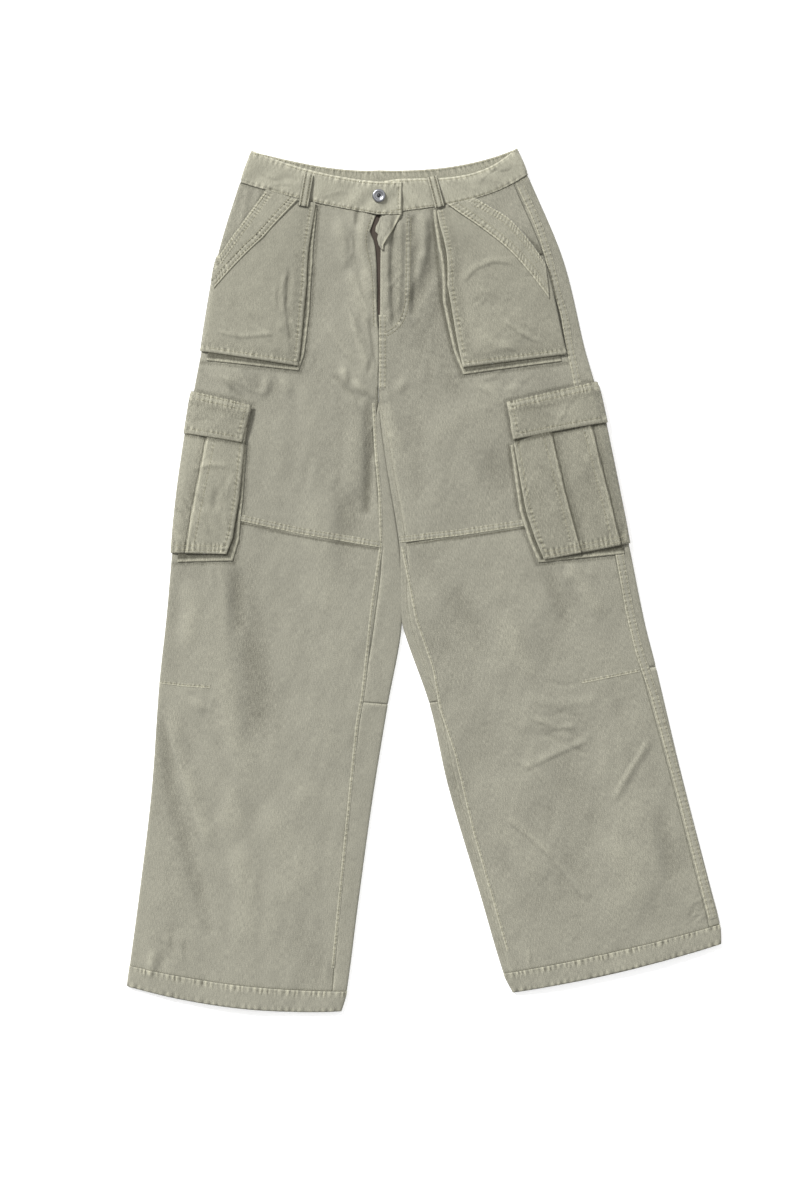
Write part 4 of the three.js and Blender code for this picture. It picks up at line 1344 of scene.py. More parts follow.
@dataclass
class Pocket:
    """What both kinds of pocket share: the leg that carries them, the finishes and the thread."""

    surface: LegSurface
    finishes: Finishes
    threads: Threads
    kind: ClassVar[str]
    rests_on: ClassVar[tuple[str, ...]]

    @property
    def side(self) -> Side:
        """The wearer's side."""
        return self.surface.side

    @property
    def sign(self) -> float:
        """Which way is into the pocket from its inner side or its foot, followed away from the fold."""
        return -1.0 if self.side is Side.RIGHT else 1.0

    def spot(self, point: tuple[float, float]) -> tuple[float, float]:
        """The place (down, around) of one point seen from above."""
        down, around = self.surface.place(np.array([point[0]], float), np.array([point[1]], float))
        return float(down[0]), float(around[0])

    def spots(self, line: Plan) -> list[tuple[float, float]]:
        """The places of a line's points."""
        return [self.spot(point) for point in line]

    def lay(
        self, part: str, cloth: Cloth, material: Material, slot: Slot, on: str = "",
    ) -> list[str]:
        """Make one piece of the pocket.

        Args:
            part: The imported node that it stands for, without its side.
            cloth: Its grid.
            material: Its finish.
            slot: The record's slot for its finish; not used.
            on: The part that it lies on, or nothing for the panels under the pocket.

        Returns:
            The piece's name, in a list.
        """
        below = [on] if on else self.rests_on
        rests_on = [f"cloth_{name}_{self.side.value}" for name in below]
        return cloth_piece(f"{part}_{self.side.value}", cloth, material, rests_on)

    def sew(self, path: Plan, offsets: Sequence[float], pieces: Sequence[str]) -> None:
        """Add rows of stitches at distances from a line, positive into the pocket."""
        group = f"stitches_{self.kind}_{self.side.value}"
        self.threads.add(group, path, [self.sign * offset for offset in offsets], pieces)


@dataclass
class PatchPocket(Pocket):
    """A front patch pocket: a face with a side strip, a band along its slanted opening, and the bearer."""

    kind = "pocket"
    rests_on = ("front_upper",)
    opening_top: tuple[float, float]
    opening_foot: tuple[float, float]
    inner: Plan
    outer_foot: tuple[float, float]
    base: Plan
    base_foot: tuple[float, float]
    band_lower: Plan
    band_upper: Plan
    seed: int
    tone: float = 0.0
    step: float = 1.8
    top: float = 0.5
    fold_clearance: float = 9.0

    def outer_around(self, down: Array) -> Array:
        """Where the pocket ends at the side: on the outer fold, or beside the side seam."""
        cut = self.surface.cut(down)
        if self.side is Side.RIGHT:
            return 0.3 * cut.quarter + 0.0 * down
        return cut.side_seam + 1.0

    def face(self) -> None:
        """Make the face, whose inner side and foot are turned and stitched."""
        inner = self.spots(self.inner)
        inner[0] = (self.top, inner[0][1])
        outer_foot, opening_foot = self.spot(self.outer_foot), self.spot(self.opening_foot)
        opening_top = self.spot(self.opening_top)
        rows, columns = int(210 / self.step), int(125 / self.step)
        share = np.linspace(0.0, 1.0, rows)
        ends = along_list(inner, share)
        outer_down = self.top + (outer_foot[0] - self.top) * share
        cut = np.clip((outer_down - self.top) / (opening_foot[0] - self.top), 0.0, 1.0)
        side = self.outer_around(outer_down)
        outer = np.where(cut < 1.0, opening_top[1] + (side - opening_top[1]) * cut, side)
        across = shares(columns)
        around = outer[:, None] + (ends[:, 1] - outer)[:, None] * across
        down = outer_down[:, None] + (ends[:, 0] - outer_down)[:, None] * across
        from_inner = ends[:, 1][:, None] - around
        from_foot = down[-1:] - down
        side_height, side_wear_and_shading = puckers(from_inner, down, (5.5,), self.seed, 0.45)
        foot_height, foot_wear_and_shading = puckers(from_foot, around, (5.5,), self.seed + 5, 0.5)
        edge = np.minimum(from_inner, from_foot)
        pillow = 0.9 * smooth(edge, 0.0, 34.0) * smooth(down, 0.0, 60.0)
        out = OUT_FACE + 0.6 + side_height + foot_height + pillow - 0.9 * bell(edge, 2.0)
        out = OUT_FACE + (out - OUT_FACE) * smooth(down, 0.0, 12.0)
        out = out * smooth(around, -12.0, 8.0)
        grid = self.surface.points(down, around, out)
        # Puckers paler on top and darker between, as rubbing and painted highlight and shade; a pale rim
        # where the turned edges are rubbed; a little darker in a band about 12 mm in from them; the pocket's
        # own tone; and the folds' painted highlight and shade.
        pale, soiled_and_shaded = split_wear_and_shading(side_wear_and_shading + foot_wear_and_shading + 1.0 * bell(edge, 2.2))
        soiled_and_shaded = soiled_and_shaded + 0.2 * bell(edge - 12.0, 9.0) + self.tone
        pale, soiled_and_shaded = self.surface.relief.toned(grid, pale, soiled_and_shaded)
        cloth = Cloth(grid, np.stack([around, down], -1), pale, soiled_and_shaded)
        piece = self.lay("pocket_panel", cloth, self.finishes.pocket, Slot.POCKET)
        self.sew(grid[2:-2:8, -1, :2], (5.5,), piece)
        self.sew(grid[-1, ::-8, :2], (5.5,), piece)

    def band(self) -> None:
        """Make the band sewn along the opening, with two rows of stitches at each edge."""
        lower, upper = self.spots(self.band_lower), self.spots(self.band_upper)
        length = path_length(self.band_lower)
        share = np.linspace(0.0, 1.0, int(length / 1.3))
        width = 0.5 * path_length([self.band_upper[1], self.band_lower[1]]) + 12.0
        from_points = np.array([resample(upper, len(share)), resample(lower, len(share))])
        across = shares(int(width / 1.1))[..., None]
        places = from_points[0][:, None] + (from_points[1] - from_points[0])[:, None] * across
        down = np.maximum(places[..., 0], self.top)
        around = np.maximum(places[..., 1], self.outer_around(down) + 1.0)
        real_width = np.linalg.norm(from_points[1] - from_points[0], axis=1)[:, None]
        distance = across[..., 0] * real_width
        along = share[:, None] * length + 0.0 * distance
        size, pitch, reach, depth = 0.6, 5.8, 3.4, 0.8
        upper_height, upper_wear_and_shading = puckers(
            distance, along, (2.6, 8.6), self.seed + 11, size, pitch, reach, depth,
        )
        lower_height, lower_wear_and_shading = puckers(
            real_width - distance, along, (3.2, 9.2), self.seed + 21, size, pitch, reach, depth,
        )
        edge = np.minimum(distance, real_width - distance)
        out = OUT_TOP + 1.5 + upper_height + lower_height - 0.9 * bell(edge, 1.8)
        grid = self.surface.points(down, around, out)
        # Pale rims where both edges are rubbed; puckers paler on top and darker between, as rubbing and
        # painted highlight and shade; a dark line of painted shade along the upper edge.
        rim = 1.3 * bell(real_width - distance - 1.1, 1.7) + 0.5 * bell(distance - 1.0, 1.4)
        pale, soiled_and_shaded = split_wear_and_shading(upper_wear_and_shading + lower_wear_and_shading + rim + 0.12)
        soiled_and_shaded = soiled_and_shaded + 0.6 * bell(distance, 1.0)
        cloth = Cloth(grid, np.stack([around, down], -1), pale, soiled_and_shaded)
        piece = self.lay("pocket_band", cloth, self.finishes.pocket, Slot.EDGE, "pocket_panel")
        self.sew(grid[2:-2:6, 0, :2], (-2.6, -8.6), piece)
        self.sew(grid[2:-2:6, -1, :2], (3.2, 9.2), piece)

    def bearer(self) -> None:
        """Make the bearer: the hip piece beyond the opening, slack at the waist in soft upright folds."""
        opening_top, opening_foot = self.spot(self.opening_top), self.spot(self.opening_foot)
        share = np.linspace(0.0, 1.0, 62)
        row_down = self.top + (opening_foot[0] - 14.0 - self.top) * share
        start = self.outer_around(row_down)
        end = opening_top[1] + 16.0 + (start + 14.0 - opening_top[1] - 16.0) * share
        around = start[:, None] + (end - start)[:, None] * shares(44)
        down = row_down[:, None] + 0.0 * around
        out = 1.3 + 0.4 * smooth(down, 0.0, 10.0)
        if self.side is Side.RIGHT:
            out = out + 0.8 * bell(around - 12.0 - 0.12 * down, 6.0) * smooth(down, 0.0, 12.0)
            out = out + 0.7 * bell(around - 26.0 - 0.1 * down, 5.0) * bell(down - 8.0, 40.0)
        out = out * smooth(around, -10.0, 4.0)
        grid = self.surface.points(down, around, out)
        # Painted shade: darker overall, towards its foot, beside the band's edge and under the waistband,
        # where it lies below them.
        soil = 0.12 + 0.2 * smooth(share, 0.5, 1.0)[:, None] + 0.45 * bell(end[:, None] - around - 12.0, 9.0)
        soil = np.minimum(soil, 0.7) + 0.5 * bell(down, 3.5)
        cloth = Cloth(grid, np.stack([around, down], -1), 0.06, soil)
        self.lay("pocket_bearer", cloth, self.finishes.panel, Slot.POCKET)

    def build(self) -> None:
        """Make every piece of the pocket."""
        self.face()
        base_foot = self.spot(self.base_foot)
        around = float(self.outer_around(np.array([base_foot[0]]))[0]) + self.fold_clearance
        sewn = [*self.spots(self.base), (base_foot[0], around)]
        node = f"pocket_gusset_{self.side.value}"
        side_strip(node, self.surface, sewn, self.finishes.pocket, self.seed + 31)
        self.band()
        self.bearer()


@dataclass
class CargoPocket(Pocket):
    """A cargo pocket on the side seam: a pleated body, a side strip and a flap, round the outer fold."""

    kind = "cargo"
    rests_on = ("front_upper", "back_upper")
    inner: Plan
    face_foot: Plan
    pleats: Sequence[Plan]
    base_inner: Plan
    base_foot_y: float
    flap_top: Plan
    flap_foot: Plan
    seed: int
    step: float = 1.8
    body_tone: float = 0.0
    flap_tone: float = 0.12
    pleat_rise: float = 1.7
    strip_gap: float = 10.0

    def rounds(self, ends: Array) -> Array:
        """Places round the tube for each row: under the fold, round it, and on to the row's end on top."""
        quarter = EDGE_HEIGHT * np.pi / 4.0
        under = np.linspace(-CARGO_WRAP, -quarter - 1.0, 14)
        fold = np.linspace(-quarter, quarter, 13)
        fixed = np.concatenate([under, fold])
        count = int((ends.max() - quarter) / self.step)
        rest = quarter + 0.8 + (ends - quarter - 0.8)[:, None] * shares(count)
        return np.concatenate([np.broadcast_to(fixed, (len(ends), len(fixed))), rest], 1)

    @staticmethod
    def wrapped(standing: Array | float, under: float, around: Array) -> Array:
        """Distance off the panel: it comes closer to the cloth as it wraps under the fold."""
        return under + (standing - under) * ramp(around, WRAP_RAMP)

    def body(self) -> None:
        """Make the body: at each pleat the cloth steps up on to its fold, beside a strip of stitches."""
        inner, foot = self.spots(self.inner), self.spots(self.face_foot)
        share = np.linspace(0.0, 1.0, int(165 / self.step))
        inner[0] = (inner[0][0] - 14.0, inner[0][1])
        ends = along_list(inner, share)
        outer_top = self.spot(self.flap_foot[1])[0] - 14.0
        outer_down = outer_top + (foot[1][0] - outer_top) * share
        around = self.rounds(ends[:, 1])
        reach = np.clip(around / ends[:, 1][:, None], 0.0, 1.0)
        down = outer_down[:, None] + (ends[:, 0] - outer_down)[:, None] * reach
        step, wear, soil = np.zeros(around.shape), np.zeros(around.shape), np.zeros(around.shape)
        for number, line in enumerate(self.pleats):
            fold = along_list(self.spots(line), share)[:, 1][:, None]
            beyond = around - fold
            step += self.pleat_rise * smooth(beyond, -0.9, 0.7) * (1.0 - 0.5 * smooth(beyond, 4.0, 40.0))
            seed = self.seed + 41 + number
            row_height, row_wear_and_shading = puckers(beyond, down, (self.strip_gap,), seed, 0.3, 5.8, 3.2)
            step += row_height - 0.3 * bell(beyond - self.strip_gap - 1.6, 1.2)
            # At each pleat a pale line along the fold's top, as rubbing and painted highlight, a dark line
            # below its step, as painted shade, and puckers paler on top and darker between.
            wear += 0.7 * row_wear_and_shading + 0.9 * bell(beyond - 1.5, 1.9) + 0.1 * bell(beyond - 5.0, 6.0)
            soil += 0.9 * bell(beyond + 1.1, 1.9) + 0.25 * bell(beyond + 5.0, 6.0)
        from_inner = ends[:, 1][:, None] - around
        from_foot = down[-1:] - down
        side_height, side_wear_and_shading = puckers(from_inner, down, (5.5,), self.seed, 0.5)
        foot_height, foot_wear_and_shading = puckers(from_foot, around, (4.0, 9.5), self.seed + 5, 0.55)
        edge = np.minimum(from_inner, from_foot)
        pillow = 1.2 * smooth(edge, 0.0, 30.0)
        standing = OUT_FACE + 0.6 + step + side_height + foot_height + pillow - 0.9 * bell(edge, 2.0)
        grid = self.surface.points(down, around, self.wrapped(standing, OUT_GUSSET, around))
        pale, soiled_and_shaded = split_wear_and_shading(side_wear_and_shading + foot_wear_and_shading + wear + 1.0 * bell(edge, 2.2) + 0.04)
        flap_inner, flap_outer = self.spots(self.flap_foot)
        flap_down = flap_outer[0] + (flap_inner[0] - flap_outer[0]) * reach
        # Darker with the pleats' painted shade, the body's own tone, and a painted shadow just below the
        # flap's foot.
        soiled_and_shaded = soiled_and_shaded + soil + self.body_tone + 0.7 * bell(down - flap_down - 1.0, 6.0)
        pale, soiled_and_shaded = self.surface.relief.toned(grid, pale, soiled_and_shaded)
        cloth = Cloth(grid, np.stack([around, down], -1), pale, soiled_and_shaded)
        piece = self.lay("cargo_body", cloth, self.finishes.pocket, Slot.POCKET)
        self.sew(grid[2:-2:8, -1, :2], (5.5,), piece)
        self.sew(grid[-1, 27::8, :2][::-1], (4.0, 9.5), piece)
        for line in self.pleats:
            self.sew(line, (-self.strip_gap,), piece)

    def flap(self) -> None:
        """Make the flap: sewn down along its top with two rows, turned and stitched on its free edges."""
        top, foot = self.spots(self.flap_top), self.spots(self.flap_foot)
        share = np.linspace(0.0, 1.0, 34)
        inner_around = top[0][1] + (foot[0][1] - top[0][1]) * share
        inner_down = top[0][0] + (foot[0][0] - top[0][0]) * share
        outer_down = top[1][0] + (foot[1][0] - top[1][0]) * share
        around = self.rounds(inner_around)
        reach = np.clip(around / inner_around[:, None], 0.0, 1.0)
        down = outer_down[:, None] + (inner_down - outer_down)[:, None] * reach
        from_top, from_foot = down - down[:1], down[-1:] - down
        from_inner = inner_around[:, None] - around
        top_height, top_wear_and_shading = puckers(from_top, around, (2.6, 9.0), self.seed + 51, 0.6, 6.0, 4.0)
        foot_height, foot_wear_and_shading = puckers(from_foot, around, (6.5,), self.seed + 61, 0.5)
        side_height, side_wear_and_shading = puckers(from_inner, down, (6.5,), self.seed + 71, 0.45)
        edge = np.minimum(np.minimum(from_inner, from_foot), from_top + 1.0)
        standing = OUT_TOP + self.pleat_rise * 0.6 * len(self.pleats) + 1.6
        standing = standing + top_height + foot_height + side_height - 0.9 * bell(edge, 2.0)
        standing = standing - 1.6 * (1.0 - smooth(from_top, 0.0, 10.0))
        standing = standing + 0.7 * np.sin(around / 13.0 + self.seed) * smooth(from_top, 10.0, 40.0)
        grid = self.surface.points(down, around, self.wrapped(standing, OUT_FACE, around))
        # Puckers paler on top and darker between, as rubbing and painted highlight and shade; pale rims where
        # the turned edges are rubbed; a dark line of painted shade where the flap is sewn down along its top,
        # and a little darker in a band about 15 mm below it; the flap's own tone.
        pale, soiled_and_shaded = split_wear_and_shading(top_wear_and_shading + 0.8 * foot_wear_and_shading + 0.8 * side_wear_and_shading + 1.0 * bell(edge, 2.2) + 0.06)
        soiled_and_shaded = soiled_and_shaded + 0.2 * bell(from_top - 15.0, 8.0) + 0.8 * bell(from_top, 1.2) + self.flap_tone
        pale, soiled_and_shaded = self.surface.relief.toned(grid, pale, soiled_and_shaded)
        cloth = Cloth(grid, np.stack([around, down], -1), pale, soiled_and_shaded)
        piece = self.lay("cargo_flap", cloth, self.finishes.pocket, Slot.POCKET, "cargo_body")
        self.sew(grid[0, 27::6, :2][::-1], (-2.6, -9.0), piece)
        self.sew(grid[-1, 27::6, :2][::-1], (6.5,), piece)
        self.sew(grid[2:-2:6, -1, :2], (6.5,), piece)

    def build(self) -> None:
        """Make every piece of the pocket."""
        self.body()
        foot_x = self.face_foot[1][0]
        foot_down = self.spot((foot_x, self.base_foot_y))[0]
        sewn = [*self.spots(self.base_inner), (foot_down, 9.0)]
        node = f"cargo_gusset_{self.side.value}"
        side_strip(node, self.surface, sewn, self.finishes.pocket, self.seed + 31)
        self.flap()


# ---- Waistband, fly and button ----


@dataclass
class Waistband:
    """The waistband, from its top end over the fly, round the back, to the end underneath."""

    legs: dict[Side, LegSurface]
    finishes: Finishes
    threads: Threads
    over_end_x: float = -28.5
    under_end_x: float = -50.0
    overlap: tuple[float, float] = (-75.0, -55.0)
    overlap_lift: float = 2.7
    step: float = 2.0
    rows: int = 30

    def half(self, side: Side, end_x: float) -> tuple[Array, Array, Array]:
        """One half's grid, from its front end round the side fold to the centre back.

        Args:
            side: The wearer's side.
            end_x: Where its front end is.

        Returns:
            Points, the places round the tube, and a signed tone: paler for rubbing and painted highlight,
            darker for painted shade.
        """
        leg = self.legs[side]
        row_down = np.linspace(BAND_TOP, -0.25, self.rows)
        cut = leg.cut(row_down)
        end_y = WAIST_Y + (BAND_TOP_Y - WAIST_Y) * row_down / BAND_TOP
        front = leg.place(np.full(self.rows, end_x), end_y)[1]
        quarter = cut.quarter
        top_count = int((front.max() - quarter) / self.step)
        back_count = int((cut.length.max() - quarter) / (1.4 * self.step))
        top = front[:, None] + (quarter + 0.8 - front)[:, None] * shares(top_count)
        fold = np.broadcast_to(np.linspace(quarter, -quarter, 15), (self.rows, 15))
        lower = -quarter - 0.8 + (quarter + 0.8 - cut.length)[:, None] * shares(back_count)
        around = np.concatenate([top, fold, lower], 1)
        down = np.broadcast_to(row_down[:, None], around.shape)
        bottom_height, bottom_wear_and_shading = puckers(-0.25 - down, around, (3.0,), 81, 0.6, 7.6, 6.5, 0.8)
        top_height, top_wear_and_shading = puckers(down - BAND_TOP, around, (3.0,), 83, 0.65, 7.2, 8.0, 0.8)
        edge = np.minimum(-0.25 - down, down - BAND_TOP)
        from_end = around[:, :1] - around
        end_height, end_wear_and_shading = puckers(from_end, down, (4.0,), 85, 0.3)
        roll = 0.8 * bell(edge, 2.0) + 0.9 * bell(from_end, 2.4)
        waves = ripple(around + 0.5 * down, 34.0, 87) * bell(down + 20.0, 26.0)
        lift = 0.5 + bottom_height + top_height + end_height + 0.9 * waves - roll
        lift = np.where(around > 0.0, lift, 0.25 * lift)
        grid = leg.points(down, around, lift)
        if side is Side.RIGHT:
            grid[..., 2] += self.overlap_lift * ramp(grid[..., 0], self.overlap) * (around > 0.0)
        # Puckers paler on top and darker between, as rubbing and painted highlight and shade; pale rims where
        # its end and top edge are rubbed; a dark line of painted shade along its lower edge; paler on the
        # waves' tops and darker in their troughs, as painted highlight and shade.
        wear = 0.8 * bottom_wear_and_shading + 0.8 * top_wear_and_shading + 0.5 * end_wear_and_shading + 1.2 * bell(from_end - 1.2, 2.2) + 0.15
        wear = wear + 0.9 * bell(down - BAND_TOP - 0.8, 1.4) - 0.9 * bell(down + 0.25, 1.1) + 0.12 * waves
        return grid, around, wear

    def build(self) -> None:
        """Make the band and its stitches."""
        right, right_around, right_wear_and_shading = self.half(Side.RIGHT, self.over_end_x)
        left, left_around, left_wear_and_shading = self.half(Side.LEFT, self.under_end_x)
        grid = np.concatenate([right, left[:, -2::-1]], 1)
        wear = np.concatenate([right_wear_and_shading, left_wear_and_shading[:, -2::-1]], 1)
        along = np.concatenate([[0.0], np.cumsum(np.linalg.norm(np.diff(grid[0], axis=0), axis=1))])
        rows = np.linspace(0.0, -BAND_TOP, self.rows)
        flat = np.stack(np.broadcast_arrays(along[None, :], rows[:, None]), -1)
        pale, soiled_and_shaded = split_wear_and_shading(wear)
        inside = np.concatenate([right_around < 0.0, left_around[:, -2::-1] < 0.0], 1)
        # Darker on the half of the band that lies underneath.
        soiled_and_shaded = soiled_and_shaded + 0.18 * inside
        cloth = Cloth(grid, flat, pale, soiled_and_shaded)
        below = ["cloth_back_upper_right", "cloth_back_upper_left"]
        piece = cloth_piece("waistband", cloth, self.finishes.edge, below, BAND_CLOTH)
        name = "stitches_waist"
        for part, sign in ((right, 1.0), (left, -1.0)):
            top_line, foot_line = part[0, 3:, :2], part[-1, 3:, :2]
            half = len(top_line) // 2
            self.threads.add(name, top_line[: half - 8 : 6], (sign * 2.6,), piece)
            self.threads.add(name, foot_line[: half - 8 : 6], (-sign * 2.4,), piece)
            self.threads.add(name, top_line[half + 14 :: 6], (-sign * 2.6,), piece)
        self.threads.add(name, right[2:-2:5, 0, :2], (-4.0,), piece)


@dataclass(frozen=True)
class BeltLoop:
    """One belt loop: a narrow folded strip across the waistband, sewn down at both ends."""

    name: str
    side: Side
    under: bool
    top: tuple[float, float]
    foot: tuple[float, float]
    foot_out: float
    width: float = 12.5

    def build(self, legs: dict[Side, LegSurface], finishes: Finishes, threads: Threads) -> None:
        """Make the loop with its two rows of stitches.

        Args:
            legs: The surfaces.
            finishes: The finishes.
            threads: Collects its topstitching.
        """
        leg = legs[self.side]
        share = np.linspace(0.0, 1.0, 46)[:, None]
        across = np.linspace(-0.5, 0.5, 17)[None, :] * self.width
        heading = np.array([self.foot[0] - self.top[0], self.foot[1] - self.top[1]], float)
        heading /= np.linalg.norm(heading)
        x = self.top[0] + (self.foot[0] - self.top[0]) * share - heading[1] * across
        y = self.top[1] + (self.foot[1] - self.top[1]) * share + heading[0] * across
        edge = self.width / 2.0 - np.abs(across)
        grooves = 0.5 * (bell(across - 3.2, 1.3) + bell(across + 3.2, 1.3)) + 0.7 * bell(edge, 1.4)
        fold = bell(share - 1.0, 0.08) + bell(share, 0.08)
        if self.under:
            down, around = leg.place(x, y, True)
            grid = leg.points(down, around, 0.0)
            grid[..., 2] = CLOTH / 2.0 + 0.1 * (grooves + fold)
        else:
            down, around = leg.place(x, y)
            start = BAND_CLOTH / 2.0 + CLOTH / 2.0 + 0.9
            bridge = 1.4 * np.sin(np.pi * share) + 0.5 * smooth(share, 0.9, 1.0)
            out = start + (self.foot_out - start) * share**2 + bridge - grooves - 1.2 * fold
            grid = leg.points(down, around, out)
        # Pale centre, edges and fold ends where rubbed; dark lines of painted shade in the two stitched
        # grooves, along both edges and where the loop tucks under at its foot.
        wear = 0.3 * bell(across, 2.4) + 0.4 * bell(edge - 1.3, 1.2) + 0.0 * share + 0.3 * fold
        soil = 1.0 * (bell(across - 3.3, 1.7) + bell(across + 3.3, 1.7)) + 0.0 * share + 0.12
        soil = soil + 0.9 * bell(edge, 0.9) + 0.8 * bell((share - 1.0) * 42.0, 1.4)
        flat = np.stack(np.broadcast_arrays(across, share * 42.0), -1)
        cloth = Cloth(grid, flat, wear, soil)
        piece = cloth_piece(self.name, cloth, finishes.edge, ["cloth_waistband"])
        if not self.under:
            threads.add("stitches_waist", [self.top, self.foot], (-3.2, 3.2), piece)


@dataclass
class Fly:
    """What shows in the fly: the zip tape and the edge of the fly shield."""

    legs: dict[Side, LegSurface]
    finishes: Finishes
    tape: Plan = ((-67, -50), (-76, -55), (-76, -49), (-70, -49), (-65, -50), (-62, -53))
    tape_y: tuple[float, ...] = (467, 440, 425, 396, 345, 317)
    shield: Plan = ((-54, -29.5), (-57, -41), (-60, -47), (-58, -52), (-54, -52.5))
    shield_y: tuple[float, ...] = (465.5, 445, 435, 427, 421)

    def strip(self, side: Side, edges: Plan, heights: Sequence[float], out: Array | float) -> Cloth:
        """A strip between two edges given at a few heights.

        Args:
            side: Whose surface it follows.
            edges: Its two edges' x at each height.
            heights: The heights, from the waist seam down.
            out: Its distance off the surface.

        Returns:
            The strip's cloth.
        """
        dense = np.linspace(heights[0], heights[-1], int(abs(heights[0] - heights[-1]) / 1.2))
        knots = np.asarray(heights, float)[::-1]
        ends = [np.interp(dense, knots, np.asarray(edges, float)[::-1, column]) for column in (0, 1)]
        x = ends[0][:, None] + (ends[1] - ends[0])[:, None] * shares(15)
        y = np.broadcast_to(dense[:, None], x.shape)
        down, around = self.legs[side].place(x, y)
        grid = self.legs[side].points(np.maximum(down, 0.5), around, out)
        return Cloth(grid, np.stack([x, y], -1))

    def build(self) -> None:
        """Make the tape and the shield."""
        tape = self.strip(Side.RIGHT, self.tape, self.tape_y, -1.7)
        cloth_piece("fly_zip_tape", tape, self.finishes.tape, ["cloth_back_upper_right"])
        across = shares(15)
        out = OUT_GUSSET + 0.2 + 1.3 * smooth(across, 0.3, 0.95) + 0.7 * bell(across - 0.3, 0.2)
        shield = self.strip(Side.LEFT, self.shield, self.shield_y, out - 0.5 * bell(across - 1.0, 0.1))
        # Pale along its outer edge where rubbed, and a dark line of painted shade in its fold.
        shield.wear = np.broadcast_to(1.1 * bell(across - 0.93, 0.12) + 0.1, shield.grid.shape[:2])
        shield.soil = np.broadcast_to(0.3 * bell(across - 0.62, 0.16), shield.grid.shape[:2])
        cloth_piece("fly_shield", shield, self.finishes.panel, ["cloth_front_upper_left"])


@dataclass
class Button:
    """The pressed metal button: a domed ring round a sunk centre, seated through the band."""

    legs: dict[Side, LegSurface]
    finishes: Finishes
    place: tuple[float, float] = (-57.6, 490.0)
    seat: float = 4.6
    profile: Plan = (
        (0.0, 0.5), (4.4, 0.5), (4.9, 0.0), (7.6, 0.0), (8.35, 0.5), (8.5, 1.1), (8.2, 1.75), (7.4, 2.3),
        (6.4, 2.5), (5.5, 2.35), (4.9, 2.0), (4.5, 1.75), (3.4, 1.7), (2.7, 1.65), (2.3, 1.35), (2.1, 1.0),
        (1.9, 0.95), (1.5, 1.3), (0.8, 1.5), (0.0, 1.55),
    )

    def build(self) -> None:
        """Turn the profile round the button's axis and give the sunk centre its own darker metal."""
        leg = self.legs[Side.RIGHT]
        down, around = leg.place(np.array([self.place[0]]), np.array([self.place[1]]))
        seat = float(leg.points(down, around, self.seat)[0, 2])
        line = np.asarray(self.profile, float)
        angle = np.linspace(0.0, 2.0 * np.pi, 64, endpoint=False)
        ring = line[1:-1]
        x = self.place[0] + ring[:, :1] * np.cos(angle)
        y = self.place[1] + ring[:, :1] * np.sin(angle)
        z = seat + ring[:, 1:] + 0.0 * angle
        vertices = np.stack([x, y, z], -1).reshape(-1, 3)
        faces = grid_faces(len(ring), len(angle), True)
        piece = put_mesh("metal_button", vertices, faces)
        mesh = piece.data
        with_ends = bmesh.new()
        with_ends.from_mesh(mesh)
        with_ends.verts.ensure_lookup_table()
        for start in (0, (len(ring) - 1) * len(angle)):
            with_ends.faces.new([with_ends.verts[start + k] for k in range(len(angle))])
        bmesh.ops.recalc_face_normals(with_ends, faces=with_ends.faces)
        with_ends.to_mesh(mesh)
        with_ends.free()
        for material in (self.finishes.metal, self.finishes.shade):
            mesh.materials.append(material)
        centres = np.empty(len(mesh.polygons) * 3)
        mesh.polygons.foreach_get("center", centres)
        centres = centres.reshape(-1, 3) / MM
        reach = np.hypot(centres[:, 0] - self.place[0], centres[:, 1] - self.place[1])
        sunk = (reach < 2.9) & (centres[:, 2] > seat + 0.7)
        mesh.polygons.foreach_set("material_index", sunk.astype(np.int32))
        mesh.polygons.foreach_set("use_smooth", np.ones(len(mesh.polygons), dtype=bool))
        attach(piece, "root")
        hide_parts("button")
        LOG.info("metal_button: %d faces", len(mesh.polygons))


# ---- The garment ----

